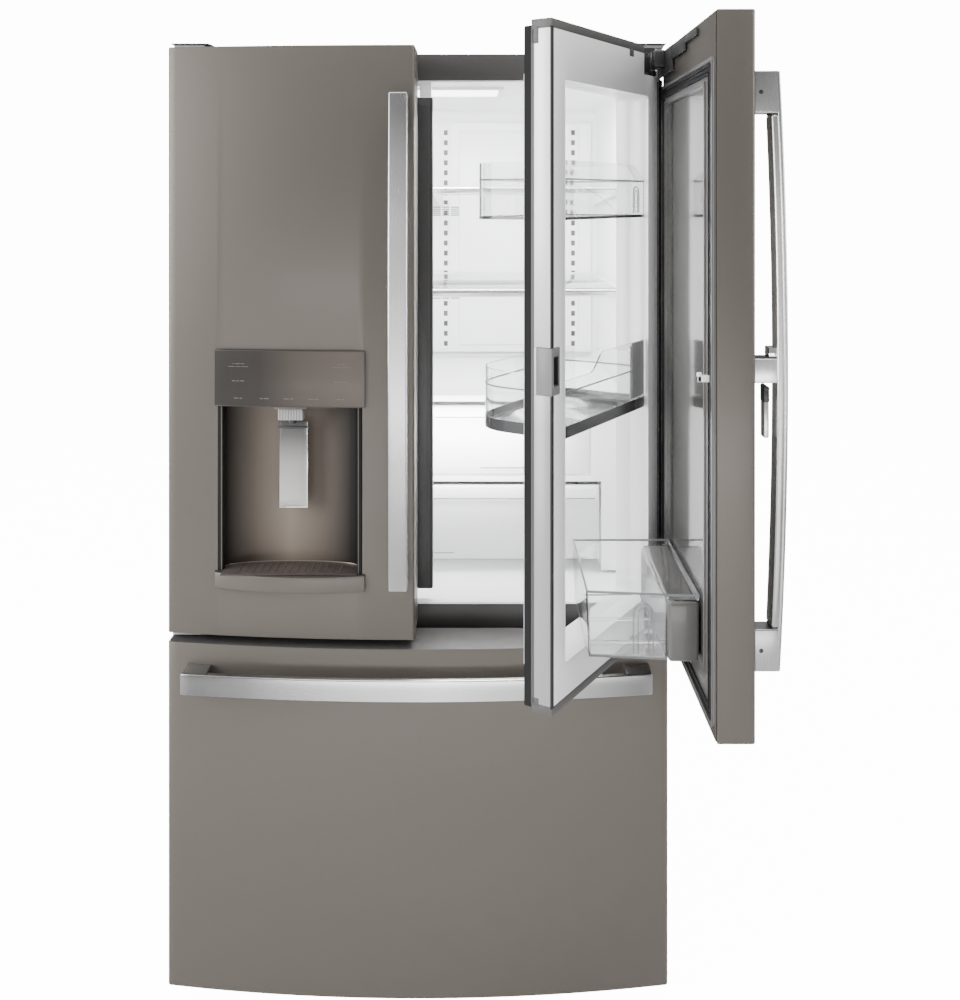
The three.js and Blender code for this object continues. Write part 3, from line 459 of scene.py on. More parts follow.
def material(name, color, rough, metal=0.0, stretch=(1, 1, 1), grain=300.0, vary=0.06,
             rough_vary=0.08, mottle=3.0, relief=0.02, edge=0.15, edge_color=None, dust=0.08,
             coat=0.0, transmission=0.0, ior=1.45, emission=0.0, specular=0.5, see_through=False,
             alpha=1.0, painted_light=None):
    mat = bpy.data.materials.new(name)
    mat.use_nodes = True
    tree = mat.node_tree
    shader = tree.nodes["Principled BSDF"]
    g = node(tree, "ShaderNodeGroup", node_tree=GRAIN)
    # painted light and shade along one axis, when given, replaces the plain colour under the grain
    if painted_light:
        tree.links.new(painted_light_ramp(tree, color, *painted_light), g.inputs["Color"])
    for key, value in (("Color", (*color, 1)), ("Roughness", rough), ("Stretch", stretch),
                       ("Grain", grain), ("Vary", vary), ("Rough Vary", rough_vary),
                       ("Mottle", mottle)):
        g.inputs[key].default_value = value
    w = node(tree, "ShaderNodeGroup",
             {"Color": g.outputs["Color"], "Roughness": g.outputs["Roughness"]}, node_tree=EDGE_HIGHLIGHT_AND_DUST)
    w.inputs["Edge"].default_value = edge
    # unless given, the painted edge highlight is a lighter copy of the base colour
    edge_color = edge_color or [min(1, c * 1.6 + 0.05) for c in color]
    w.inputs["Edge Color"].default_value = (*edge_color, 1)
    w.inputs["Dust"].default_value = dust
    bump = node(tree, "ShaderNodeBump", {"Height": g.outputs["Height"], "Strength": relief,
                                         "Distance": MM})
    tree.links.new(w.outputs["Color"], shader.inputs["Base Color"])
    tree.links.new(w.outputs["Roughness"], shader.inputs["Roughness"])
    tree.links.new(bump.outputs[0], shader.inputs["Normal"])
    for key, value in (("Metallic", metal), ("Coat Weight", coat), ("Coat Roughness", COAT_ROUGH),
                       ("Specular IOR Level", specular), ("IOR", ior),
                       ("Transmission Weight", transmission)):
        shader.inputs[key].default_value = value
    if emission:
        shader.inputs["Emission Color"].default_value = LAMP_TONE
        shader.inputs["Emission Strength"].default_value = emission
    if see_through:
        path = node(tree, "ShaderNodeLightPath")
        dim = node(tree, "ShaderNodeMath",
                   {0: path.outputs["Is Shadow Ray"], 1: path.outputs["Is Diffuse Ray"]},
                   operation="MAXIMUM")
        clear = node(tree, "ShaderNodeMapRange", {"Value": dim.outputs[0], "To Min": alpha,
                                                  "To Max": CLEAR_TO_LIGHT})
        tree.links.new(clear.outputs[0], shader.inputs["Alpha"])
    return mat


# ---- Finishes
UP, ACROSS = (1, 1, 0.02), (0.02, 1, 1)  # which way a brushed grain runs
slate = material("slate_finish", (0.098, 0.087, 0.076), rough=0.42, metal=0.55, stretch=UP,
                 grain=900, vary=0.05, rough_vary=0.06, mottle=1.5, edge=0.12, dust=0.04, coat=0.05)
# painted shade darkens the alcove's back wall towards both sides, with a painted highlight down its middle
alcove = material("alcove_finish_painted_light", (0.1, 0.083, 0.069), rough=0.5, metal=0.2, stretch=UP, grain=500,
                  vary=0.05, rough_vary=0.06, mottle=4, relief=0.01, edge=0.02, specular=0.25,
                  painted_light=("x", ((ALCOVE_MID - 128, 0.05), (ALCOVE_MID - 70, 1.2),
                               (ALCOVE_MID - 10, 2.1), (ALCOVE_MID + 50, 1.1),
                               (ALCOVE_MID + 105, 0.06), (ALCOVE_MID + 128, 0.03))))
tray_brown = material("tray_brown", (0.03, 0.021, 0.018), rough=0.4, metal=0.1, grain=500)
thin_line = material("pale_bronze_line", (0.3, 0.26, 0.22), rough=0.3, metal=0.6,
                     grain=500, relief=0.0)
charcoal = material("charcoal_paint", (0.042, 0.04, 0.039), rough=0.42, metal=0.1, grain=1400,
                    relief=0.08, edge=0.2)
graphite = material("graphite_trim", (0.07, 0.068, 0.066), rough=0.5, metal=0.2, grain=1400,
                    relief=0.05, edge=0.2)
# painted highlight a little above the handle's middle, with painted shade towards both ends
satin_painted_highlight = material("satin_aluminium", (0.95, 0.945, 0.935), rough=0.26, metal=0.9, stretch=UP,
                 grain=1200, vary=0.05, mottle=6, relief=0.03, edge=0.3,
                 painted_light=("z", ((HANDLE_LOW, 0.2), (HANDLE_MID - 210, 0.28), (HANDLE_MID - 70, 0.62),
                              (HANDLE_MID + 70, 1.0), (HANDLE_MID + 210, 0.95),
                              (HANDLE_MID + 320, 0.6), (HANDLE_HIGH, 0.14))))
# painted highlight across the middle of the freezer bar, with painted shade towards both ends
satin_across_painted_highlight = material("satin_aluminium_across_painted_highlight", (0.85, 0.83, 0.83), rough=0.26, metal=0.9,
                   stretch=ACROSS, grain=1200, vary=0.05, mottle=6, relief=0.03, edge=0.3,
                   painted_light=("x", ((-420, 0.02), (-300, 0.14), (-140, 0.6), (40, 1.0), (200, 0.6),
                                (420, 0.04))))
chrome = material("bright_trim", (0.82, 0.82, 0.82), rough=0.12, metal=1.0, grain=600, relief=0.005)
# painted shade darkens the paddle towards its top
paddle_painted_shade = material("paddle_satin_painted_shade", (0.42, 0.41, 0.4), rough=0.34, metal=0.6, stretch=UP,
                      grain=700, vary=0.04, rough_vary=0.06, mottle=8, edge=0.2,
                      painted_light=("z", ((900, 1.0), (985, 0.62), (1035, 0.22), (1066, 0.1))))
white = material("liner_white", (0.93, 0.935, 0.94), rough=0.34, grain=900, vary=0.015, edge=0.05,
                 dust=0.02, coat=0.1)
frame_white = material("door_frame_white", (0.88, 0.882, 0.885), rough=0.28, grain=900, vary=0.015,
                       relief=0.01, edge=0.05, dust=0.03, coat=0.3)
# painted shade darkens the inner door's edge strip towards the bottom
door_edge_painted_shade = material("door_edge_satin_painted_shade", (0.95, 0.95, 0.95), rough=0.3, metal=0.1, stretch=UP,
                      grain=900, vary=0.03, rough_vary=0.05, relief=0.01, edge=0.05,
                      painted_light=("z", ((686, 0.32), (1120, 0.34), (1400, 1.0), (1745, 1.0))))
clear = material("clear_plastic", (0.97, 0.975, 0.98), rough=0.03, grain=40, vary=0.01,
                 rough_vary=0.03, relief=0.01, edge=0, dust=0, transmission=1.0, ior=1.42,
                 see_through=True)
shelf_glass = material("shelf_glass", (0.93, 0.97, 0.955), rough=0.02, grain=20, vary=0.01,
                       rough_vary=0.02, relief=0.0, edge=0, dust=0, transmission=1.0,
                       see_through=True)
edge_clear = material("clear_edge", (0.3, 0.31, 0.32), rough=0.08, grain=40, vary=0.02, relief=0.01,
                      edge=0, dust=0, transmission=0.55, ior=1.3)
pale_grey = material("pale_grey_plastic", (0.3, 0.3, 0.3), rough=0.36, grain=900, relief=0.03)
drawer_clear = material("drawer_clear", (0.93, 0.94, 0.95), rough=0.12, grain=60, vary=0.02,
                        relief=0.01, edge=0.1, dust=0, see_through=True, alpha=0.42)
smoke = material("smoked_plastic", (0.035, 0.035, 0.037), rough=0.2, relief=0.01, coat=0.4)
rubber = material("gasket_rubber", (0.013, 0.013, 0.014), rough=0.7, grain=500, relief=0.1,
                  vary=0.1, specular=0.15, edge=0.05, dust=0.02)
dark_liner = material("dark_liner", (0.085, 0.083, 0.08), rough=0.32, grain=700,
                      relief=0.03, coat=0.2)
gloss_dark = material("dark_gloss_panel", (0.1, 0.098, 0.095), rough=0.08, metal=0.4, grain=60,
                      vary=0.02, rough_vary=0.02, relief=0.002, coat=0.6)
black = material("black_plastic", (0.013, 0.013, 0.014), rough=0.35, grain=900, relief=0.06,
                 edge=0.3, edge_color=(0.1, 0.1, 0.1))
# painted shade on the left of the control panel, brightening to a painted highlight on its right
control = material("control_glass", (0.06, 0.05, 0.043), rough=0.42, metal=0.1, grain=30, vary=0.03,
                   rough_vary=0.02, relief=0.001, coat=0.03, specular=0.3,
                   painted_light=("x", ((ALCOVE_MID - 136, 0.24), (ALCOVE_MID - 55, 0.28),
                                (ALCOVE_MID + 20, 1.0), (ALCOVE_MID + 136, 1.5))))
mark = material("control_marks", (0.09, 0.078, 0.069), rough=0.5, grain=400, relief=0.0)
zinc = material("zinc_steel", (0.55, 0.56, 0.56), rough=0.35, metal=0.9, grain=120, vary=0.15,
                rough_vary=0.15, mottle=30, relief=0.05)
grey = material("grey_plastic", (0.17, 0.17, 0.17), rough=0.38, grain=900, relief=0.04)
# a near-black finish for painted shadow in narrow joints
painted_seam_shadow = material("seam_shadow", (0.012, 0.012, 0.013), rough=0.7, grain=500, relief=0.0,
                edge=0.0, dust=0.0)
lamp = material("lamp_lens", (0.95, 0.95, 0.95), rough=0.3, grain=200, relief=0.01, emission=5.0)
foam_mat = material("foam_buff", (0.62, 0.55, 0.36), rough=0.85, grain=160, vary=0.15, relief=0.4)

NODE_LOOKS = {
    "slate_metal": slate, "charcoal_paint": charcoal, "satin_aluminium": satin_painted_highlight, "zinc_steel": zinc,
    "white_plastic": white, "clear_plastic": clear, "shelf_glass": shelf_glass,
    "gasket_rubber": rubber, "foam": foam_mat, "black_plastic": black, "dark_plastic": dark_liner,
    "control_glass": control,
}
for part in frame["record"]["subparts"]:
    data = frame["nodes"][part["node"]].data
    data.materials.clear()
    data.materials.append(NODE_LOOKS[part["material_slot"]])


# ---- Left-hand door
POCKET = (ALCOVE_MID - 131.1, ALCOVE_MID + 131.1, ALCOVE_LOW - 3, CONTROL_HIGH - 3)
piece("left_door_skin", "left_door", [
    bowed((-HALF, -DOOR_FREE), (DOOR_LOW, DOOR_HIGH), 62, holes=[POCKET]),
], [slate, charcoal], ["left_door_panel"])


def alcove_shell():
    """The dispenser's half-round back wall, with its floor and ceiling and an open front."""
    inside, depth = 122.5, 37.6
    low_x, high_x = ALCOVE_MID - inside, ALCOVE_MID + inside
    front = bow_y(low_x)
    wall = half_round(ALCOVE_MID, ALCOVE_SPRING, inside, depth, 28)
    bm = prism([(high_x, front), *wall, (low_x, front)], "z", (ALCOVE_LOW + 0.5, ALCOVE_HIGH - 0.5))
    open_up(bm, lambda f: f.normal.y < -FACING)
    bmesh.ops.reverse_faces(bm, faces=bm.faces[:])
    bmesh.ops.solidify(bm, geom=bm.faces[:], thickness=1.6)
    return bm


def rails():
    """The upright edges of the alcove, each with a dark line down it."""
    made = []
    for s in (-1, 1):
        face = bow_y(ALCOVE_MID + s * 128)
        edge, line = (sorted((ALCOVE_MID + s * a, ALCOVE_MID + s * b))
                      for a, b in ((122.2, 130.6), (123.6, 125.4)))
        made.append(block(edge, (face - 0.6, 2), (ALCOVE_LOW, ALCOVE_HIGH + 2), r=1.2, seg=3))
        made.append(block(line, (face - 1.0, face + 3), (ALCOVE_LOW, ALCOVE_HIGH + 1), r=0.6, m=1))
    return made


piece("dispenser_alcove", "left_door", [
    alcove_shell(), *rails(),
    ring("y", (POCKET[0] + 0.4, POCKET[1] - 0.4), (POCKET[2] + 0.4, POCKET[3] - 0.4), (-6, 50),
         (6, 6, 3, 96), r=0.5),
], [alcove, graphite], ["dispenser_housing"])


def on_front(bm, out):
    """Bends a flat piece that was drawn about Y = 0 to the door's front."""
    for v in bm.verts:
        v.co.y += bow_y(v.co.x, out)
    return bm


def bowed_plate(x, z, out, thick, r, m=0, corner=0.0):
    """A plate that stands out from the door's front and follows its bow."""
    bm = grid("y", x, z, 0, nu=12)
    thicken(bm, "y", thick)
    if corner:
        soften(bm, corner, seg=4, only=along("y"))
    soften(bm, r, angle=50)
    return paint(on_front(bm, out), m)


CONTROL_X = (ALCOVE_MID - 136.5, ALCOVE_MID + 136.5)
CONTROL_Z = (ALCOVE_HIGH + 1, CONTROL_HIGH)


def mark_row(x, z, widths, high=1.5):
    """A row of short plain dashes, centred at x."""
    made = []
    space = 2.2
    at = x - (sum(widths) + space * (len(widths) - 1)) / 2
    for w in widths:
        made.append(on_front(block((at, at + w), (-0.25, 0.3), (z, z + high), r=0, m=2), 3.95))
        at += w + space
    return made


marks = []
for side_x, upper, lower in ((-93, (3, 9, 5), (12, 8, 12)), (93, (7, 5), (14, 10))):
    marks += mark_row(ALCOVE_MID + side_x, 1173, upper, high=1.2)
    marks += mark_row(ALCOVE_MID + side_x, 1168, lower, high=1.0)
    marks += mark_row(ALCOVE_MID + side_x, 1142, (6, 4, 8))
for key_x, widths in ((-93, (8, 5)), (-45, (5, 9)), (-1, (10, 6)), (44, (9, 7)), (93, (6, 5))):
    marks += mark_row(ALCOVE_MID + key_x, 1111, widths)
piece("control_panel_glass", "left_door", [
    bowed_plate(CONTROL_X, CONTROL_Z, 4, thick=3.4, r=0.9, corner=2.0),
    bowed_plate((CONTROL_X[0] + 3, CONTROL_X[1] - 3), (ALCOVE_HIGH + 3, CONTROL_HIGH - 2), 0.4,
                thick=14, r=0.5, m=1),
    *marks,
    *[bowed_plate(CONTROL_X, z, 4.3, thick=0.8, r=0.2, m=1)
      for z in ((CONTROL_Z[1] - 1.4, CONTROL_Z[1]), (CONTROL_Z[0], CONTROL_Z[0] + 1.4))],
    *[bowed_plate(x, CONTROL_Z, 4.3, thick=0.8, r=0.2, m=1)
      for x in ((CONTROL_X[0], CONTROL_X[0] + 1.4), (CONTROL_X[1] - 1.4, CONTROL_X[1]))],
], [control, black, mark], ["control_panel"])


def nozzle_parts():
    """A ribbed housing under a plate, with the spout's cone below it."""
    low, top = ALCOVE_HIGH - 26, ALCOVE_HIGH - 0.6
    ribs, pitch = 9, 5
    made = [
        block((ALCOVE_MID - 30, ALCOVE_MID + 30), (-14, 20), (ALCOVE_HIGH - 6, top), r=2,
              seg=3, m=1),
        block((ALCOVE_MID - 23, ALCOVE_MID + 23), (-15, 18), (low, top - 4), r=2.4, seg=3),
    ]
    for i in range(ribs):
        x = ALCOVE_MID + (i - ribs // 2) * pitch
        made.append(block((x - 1.3, x + 1.3), (-16, -14), (low + 1.5, top - 5), r=0.8))
    made.append(rod(9, "z", (low - 7, low + 1), (ALCOVE_MID, -2), seg=28, r=1.0, m=2, radius2=11))
    return made


piece("dispenser_nozzle_body", "left_door", nozzle_parts(), [pale_grey, alcove, black],
      ["dispenser_nozzle"])


def paddle_parts():
    """A plate that is dished across, more so at its foot, with dark edges and a pin."""
    half, face, dish, thick = 26, 14, 2.2, 2.6
    x, z = (ALCOVE_MID - half, ALCOVE_MID + half), (905, 1063)
    bm = grid("y", x, z, face, nu=12, nv=10)
    for v in bm.verts:
        u = (v.co.x - ALCOVE_MID) / half
        t = (v.co.z - z[0]) / (z[1] - z[0])
        v.co.y = face + dish * (1 - u * u) * (0.4 + 0.6 * (1 - t))
    thicken(bm, "y", lambda co: co.y + thick)
    soften(bm, 0.9, angle=50)
    made = [bm]
    for s in (-1, 1):
        lip, line = (sorted((ALCOVE_MID + s * a, ALCOVE_MID + s * b))
                     for a, b in ((24.3, 26), (25.4, 26.6)))
        made.append(block(lip, (14.2, 18.8), z, r=0.6, m=1))
        made.append(block(line, (13.4, 15), z, r=0.4, m=3 if s > 0 else 1))
    made.append(block(x, (14, 19), (z[0], z[0] + 2.4), r=0.6, m=3))
    made.append(rod(3.2, "x", (x[0] - 2, x[1] + 2), (16.5, 1052), seg=20, r=0.5, m=2))
    return made


piece("paddle_plate", "paddle", paddle_parts(), [paddle_painted_shade, graphite, black, chrome],
      ["dispenser_paddle"])


def tray_parts():
    """The ledge under the alcove bows out past the door, in front of a slotted floor."""
    reach, steps, bulge = ALCOVE_WIDE / 2 + 8, 24, 16
    front, behind = [], []
    for i in range(steps + 1):
        x = ALCOVE_MID - reach + 2 * reach * i / steps
        front.append((x, bow_y(x, 6 + bulge * (1 - ((x - ALCOVE_MID) / reach) ** 2))))
        behind.append((x, bow_y(x, 0.5)))
    ledge = prism(front + behind[::-1], "z", (ALCOVE_LOW - 28, ALCOVE_LOW), r=1.6, seg=3)
    inside, depth = ALCOVE_WIDE / 2 - 7, 29
    arc = half_round(ALCOVE_MID, ALCOVE_SPRING, inside, depth, steps)
    within = [(ALCOVE_MID + (x - ALCOVE_MID) * 0.985, ALCOVE_SPRING + (y - ALCOVE_SPRING) * 0.955)
              for x, y in arc]
    floor = prism([(ALCOVE_MID + inside, -38), *arc, (ALCOVE_MID - inside, -38)], "z",
                  (ALCOVE_LOW + 0.5, ALCOVE_LOW + 3), r=0.5, m=1)
    edge = prism(arc + within[::-1], "z", (ALCOVE_LOW + 2.6, ALCOVE_LOW + 4.6), r=0.4, m=2)
    # a near-black strip of painted shadow where the ledge meets the door
    gap = [(x, y - 1.2) for x, y in behind] + [(x, y + 1) for x, y in reversed(behind)]
    seam_shadow_line = prism(gap, "z", (ALCOVE_LOW - 1, ALCOVE_LOW + 1.4), seg=1, m=3)
    made = [ledge, floor, edge, seam_shadow_line]
    ribs, pitch = 15, 13
    for i in range(ribs):
        x = ALCOVE_MID + (i - ribs // 2) * pitch
        deep = ALCOVE_SPRING + depth * math.sqrt(1 - ((x - ALCOVE_MID) / inside) ** 2) - 9
        made.append(block((x - 1.6, x + 1.6), (-26, deep), (ALCOVE_LOW + 2.8, ALCOVE_LOW + 3.5),
                          r=0.3, m=1))
    return made


piece("tray_ledge", "left_door", tray_parts(), [slate, tray_brown, thin_line, painted_seam_shadow], ["drip_tray"])


STAND = 50  # how far the middle of a handle's bar stands out from its feet


def bar_parts(side):
    """The handle's bar bows away from the door between two end blocks."""
    steps, end, bow = 24, 62, 12
    span = (HANDLE_HIGH - HANDLE_LOW) / 2

    def outer_at(z):
        return FOOT - STAND + bow * ((z - HANDLE_MID) / span) ** 2

    x = (FREE_IN, FREE_IN + HANDLE_WIDE)
    low, high = HANDLE_LOW + end, HANDLE_HIGH - end
    bar = [low + 1 + (high - low - 2) * i / steps for i in range(steps + 1)]
    face = [HANDLE_LOW + 2 * span * i / steps for i in range(steps + 1)]
    made = [
        prism([(outer_at(z) + 3, z) for z in bar] + [(outer_at(z) + 17, z) for z in reversed(bar)],
              "x", x, r=5.5, seg=4),
        prism([(outer_at(z), z) for z in face] + [(outer_at(z) + 7, z) for z in reversed(face)],
              "x", x, r=2.6, seg=3),
    ]
    for root, tip in ((low, HANDLE_LOW), (high, HANDLE_HIGH)):
        foot = [(outer_at(tip) + 3, tip), (outer_at(root) + 3, root), (FOOT, root), (FOOT, tip)]
        made.append(prism(foot, "x", (x[0] + 0.4, x[1] - 0.4), r=2.2, seg=3))
        core = (root - 3, root + 3)
        made.append(block((x[0] + 1.5, x[1] - 1.5), (outer_at(root) + 4, outer_at(root) + 15), core,
                          r=0.5, seg=1, m=1))
        for at in (x[0] - 0.1, x[1] - 0.6):
            made.append(rod(3.2, "x", (at, at + 0.7), (FOOT - 10, (root + tip) / 2), seg=20,
                            r=0.2, m=1))
    if side < 0:
        return [flip(b) for b in made]
    made.append(block((x[0] + 3, x[1] - 3), (FOOT - 40, FOOT), (HANDLE_MID - 18, HANDLE_MID + 18),
                      r=2.5, seg=3))
    made.append(block((x[0] + 4, x[1] - 4), (FOOT - 33, FOOT - 1),
                      (HANDLE_MID + 17, HANDLE_MID + 20), m=1))
    made.append(block((x[0] + 4, x[1] - 4), (FOOT - 35, FOOT - 22),
                      (HANDLE_MID + 20, HANDLE_MID + 34), r=1.5, m=2))
    return made


piece("left_door_handle", "left_door", bar_parts(-1), [satin_painted_highlight, black, chrome], ["left_handle"])

piece("mullion_body", "mullion", [
    prism(round_rect((-30.5, 23.5), (83, 105), 4), "z", (733, 1660), r=0.8),
    block((-22, 15), (82.6, 84), (745, 1648), r=0.5, m=1),
    *[block((x, x + 1.6), (82.3, 84), (733, 1660), r=0.5, m=1) for x in (18.5, 21)],
    *[block((-30, 23), (83.4, 104.6), z, r=2.5, m=1) for z in ((731, 739), (1654, 1662))],
], [charcoal, black], ["mullion_flap"])

# ---- Freezer drawer
piece("freezer_front", "freezer_drawer", [
    bowed((-HALF, HALF), (42, 666), 62, nu=48),
], [slate, charcoal], ["freezer_panel"])


def freezer_bar():
    """The drawer's bar runs the whole way across, over an end block at each side."""
    reach, end, steps, z = HALF - 36, 46, 44, (592, 630)
    root = reach - end

    def strip(limit, outer, inner, r, seg, levels):
        xs = [-limit + 2 * limit * i / steps for i in range(steps + 1)]
        outline = [(x, bow_y(x, outer)) for x in xs] + [(x, bow_y(x, inner)) for x in reversed(xs)]
        return prism(outline, "z", levels, r=r, seg=seg)

    made = [strip(reach, 46, 39, 2.6, 3, z),
            strip(root - 1, 43, 32, 4.5, 4, (z[0] + 0.2, z[1] - 0.2))]
    for s in (-1, 1):
        foot = [(s * root, bow_y(root, 43)), (s * reach, bow_y(reach, 43)),
                (s * reach, bow_y(reach, 0.9)), (s * root, bow_y(root, 0.9))]
        made.append(prism(foot, "z", (z[0] + 0.4, z[1] - 0.4), r=2.2, seg=3))
        made.append(block(sides(root - 3, root + 2, s), (bow_y(root, 42), bow_y(root, 34)),
                          (z[0] + 2, z[1] - 2), r=0.5, seg=1, m=1))
    return made


piece("freezer_bar", "freezer_drawer", freezer_bar(), [satin_across_painted_highlight, black], ["freezer_handle"])

# ---- Inner right-hand door
IN_X, IN_Z = (16.0, 433.0), (686.0, 1745.0)
IN_FRONT, IN_BACK = 29.9, 66  # its frame's front is just behind the outer door's inner skin
CATCH, CATCH_X = HANDLE_MID - 12, 43.4
CATCH_Z = (CATCH - 36.4, CATCH + 36.4)


def inner_frame_parts():
    """A white frame round the window, notched for the hinges and the catch."""
    low, high = IN_Z[0] + 14, IN_Z[1] - 14.5
    notch, hinge_tall = HINGE_X - 74, 52
    bm = grid("y", IN_X, (low, high), 30, holes=[
        (*WIN_X, *WIN_Z),
        (notch, IN_X[1] + 1, DOOR_HIGH - hinge_tall, high + 1),
        (notch, IN_X[1] + 1, low - 1, DOOR_LOW + hinge_tall),
        (IN_X[0] - 1, CATCH_X, *CATCH_Z),
    ])
    thicken(bm, "y", IN_BACK)
    upright = along("y")
    soften(bm, 9, seg=4, only=lambda e: upright(e) and WIN_X[0] - 1 < e.verts[0].co.x < WIN_X[1] + 1
           and WIN_Z[0] - 1 < e.verts[0].co.z < WIN_Z[1] + 1)
    soften(bm, 1.4, angle=50)
    for f in bm.faces:
        at_free_edge = f.calc_center_median().x < IN_X[0] + 0.5 and abs(f.normal.x) > 0.7
        f.material_index = 1 if at_free_edge else 0
    rim = 17
    made = [bm, ring("y", (WIN_X[0] - rim, WIN_X[1] + rim), (WIN_Z[0] - rim, WIN_Z[1] + rim),
                     (64, 95), 16.6, r=3, corner=9, seg=3)]
    # the caps at its top and bottom, with the legs and tabs that reach over the frame
    for z, leg, tab in (((high, IN_Z[1]), (high - 24, high + 4), (high - 14, high + 4)),
                        ((IN_Z[0], low), (low - 4, low + 10), (low - 4, low + 8))):
        made.append(block((IN_X[0], notch), (IN_FRONT, IN_BACK), z, r=1.6, m=2))
        made.append(block((IN_X[0] - 0.3, IN_X[0] + 12), (52, 66.3), leg, r=1.5, m=2))
        made.append(block((300, 322), (IN_FRONT, 36), tab, r=2, m=2))
    # a dark strip of painted shadow in the seam between the edge strip and the front face
    for z in ((IN_Z[0] + 12, CATCH_Z[0]), (CATCH_Z[1], IN_Z[1] - 12)):
        made.append(block((IN_X[0] - 0.3, IN_X[0] + 6.5), (IN_FRONT, 33), z, r=0.4, m=6))
    made.append(block((IN_X[0] - 0.3, IN_X[0] + 3), (60.5, 66.3), (low, high), r=0.8, m=3))
    made.append(block((IN_X[1] - 9, IN_X[1] - 2), (IN_FRONT, 33), (DOOR_LOW + 60, DOOR_HIGH - 60),
                      r=2, seg=3, m=2))
    # the hinge blocks and their knuckles
    for z, knuckle in (((DOOR_HIGH - 50, DOOR_HIGH - 16), (DOOR_HIGH - 50, DOOR_HIGH - 40)),
                       ((DOOR_LOW + 8, DOOR_LOW + 48), (DOOR_LOW + 40, DOOR_LOW + 50))):
        made.append(block((notch - 3, notch + 29), (30.5, 62), z, r=5, seg=3, m=4))
        made.append(block((notch + 20, HINGE_X - 13), (38, 50), knuckle, r=1.5, m=4))
        made.append(rod(10, "z", knuckle, (HINGE_X - 14, 44), seg=28, r=1.5, m=4))
        made.append(rod(4, "z", (knuckle[0] + 1, knuckle[1] - 1), (HINGE_X - 3, 40), seg=20,
                        r=0.6, m=5))
    # the frame goes on behind the latch's catch
    made.append(block((IN_X[0], CATCH_X), (57, IN_BACK), CATCH_Z, r=0.4, seg=1, m=1))
    # the lip round the window
    made.append(ring("y", (WIN_X[0] - 1.5, WIN_X[1] + 1.5), (WIN_Z[0] - 1.5, WIN_Z[1] + 1.5),
                     (29.8, 34), 2.2, r=0.8, corner=8))
    return made


piece("inner_door_body", "inner_door", inner_frame_parts(),
      [frame_white, door_edge_painted_shade, graphite, graphite, black, zinc, painted_seam_shadow], ["inner_door_frame"])

piece("inner_door_seal", "inner_door", [
    ring("y", (IN_X[0] + 2 + k, 431 - k), (690 + k, 1737 - k), (66.4, 79.3 - 2 * i), 5.2, r=1.4,
         corner=6, seg=3)
    for i, k in enumerate((0, 6.4, 12.2))
], [rubber], ["inner_door_gasket"])


BIN_X, BIN_Y = (WIN_X[0] + 3, WIN_X[1] - 3), (36, 208)
BIN_FRONT = 60  # what lies before this belongs to a bin's front wall


def bin_plan(radii, step, out=0):
    u, v = ((low - out, high + out) for low, high in (BIN_X, BIN_Y))
    return dense(round_rect(u, v, radii, 6), step)


def ramp_up(value, start, length):
    return max(0.0, min(1.0, (value - start) / length))


def top_bin():
    """A clear bin whose front drops at the hinge side, with a rim line and a smoked foot."""
    z, radii = (1437, 1531), (4, 4, 30, 44)

    def rim(co):
        drop = 26 * ramp_up(co.x, 330, 44) if co.y < BIN_FRONT else 0
        return z[1] - 2.4 * ramp_up(co.y, BIN_FRONT, 120) - drop

    made = [vessel(bin_plan(radii, 14), z, 2.6, floor_r=5, rim=rim)]
    plan = bin_plan(radii, 20, 0.4)
    made.append(band(plan, (1500, 1502.6), 3.2, m=1))
    made.append(band(plan, (z[0], 1441.5), 3.4, m=2))
    for k in (0, 6.5):
        made.append(arch("y", (328 + k, 354 - k), (1445, 1492 - k), (34.4, 36.4), wide=1.6, m=1))
    return made


piece("top_bin_tray", "inner_door", top_bin(), [clear, edge_clear, smoke], ["inner_top_bin"])


def middle_bin():
    """A clear bin in a smoked carrier; its front steps up to a latch at the hinge side."""
    x, z, radii = BIN_X, (1096, 1216), (4, 4, 34, 70)

    def rim(co):
        if co.y > BIN_FRONT:
            return z[1] - 22
        return z[1] - 30 + 30 * ramp_up(co.x, 170, 34)

    made = [vessel(bin_plan(radii, 14), (z[0] + 4, z[1]), 2.6, floor_r=5, rim=rim)]
    plan = bin_plan(radii, 20, 0.5)
    made.append(band(plan, (z[0], z[0] + 19), 2.4, m=1))
    made.append(band(plan, (1166, 1168.6), 3.0, m=4))
    made.append(block((x[1] - 56, x[1] - 3), (35, 40), (z[0] + 22, z[1] + 0.5), r=3, seg=3, m=2))
    made.append(block((x[1] - 44, x[1] - 6), (34.6, 38), (z[0] + 2, z[0] + 19), r=2, m=3))
    for k in (0.0, 3.0):
        made.append(block((x[1] - 60 - k, x[1] - 58.5 - k), (34.8, 38), (z[0] + 20, z[1] - 4),
                          r=0.6, m=4))
    return made


piece("middle_bin_tray", "inner_door", middle_bin(),
      [clear, smoke, pale_grey, graphite, edge_clear], ["inner_middle_bin"])

piece("catch_block", "inner_door", [
    ring("y", (15.6, 43), (CATCH - 36, CATCH + 36), (30.2, 56.6), (7.5, 6, 14, 14),
         r=1.5, corner=2),
    block((22, 38), (47.5, 56), (CATCH - 24, CATCH + 24), r=0.5, seg=1, m=1),
    ring("y", (22.2, 37.8), (CATCH - 22.6, CATCH + 22.6), (30, 52), 1.6, r=0.3, corner=1, m=1),
    block((15.2, 18), (30, 56), (CATCH - 36, CATCH + 36), r=1.2),
], [grey, black], ["latch_catch"])

# ---- Outer right-hand door
piece("outer_door_skin", "outer_door", [
    bowed((DOOR_FREE, HALF), (DOOR_LOW, DOOR_HIGH), 22),
], [slate, charcoal], ["outer_door_panel"])


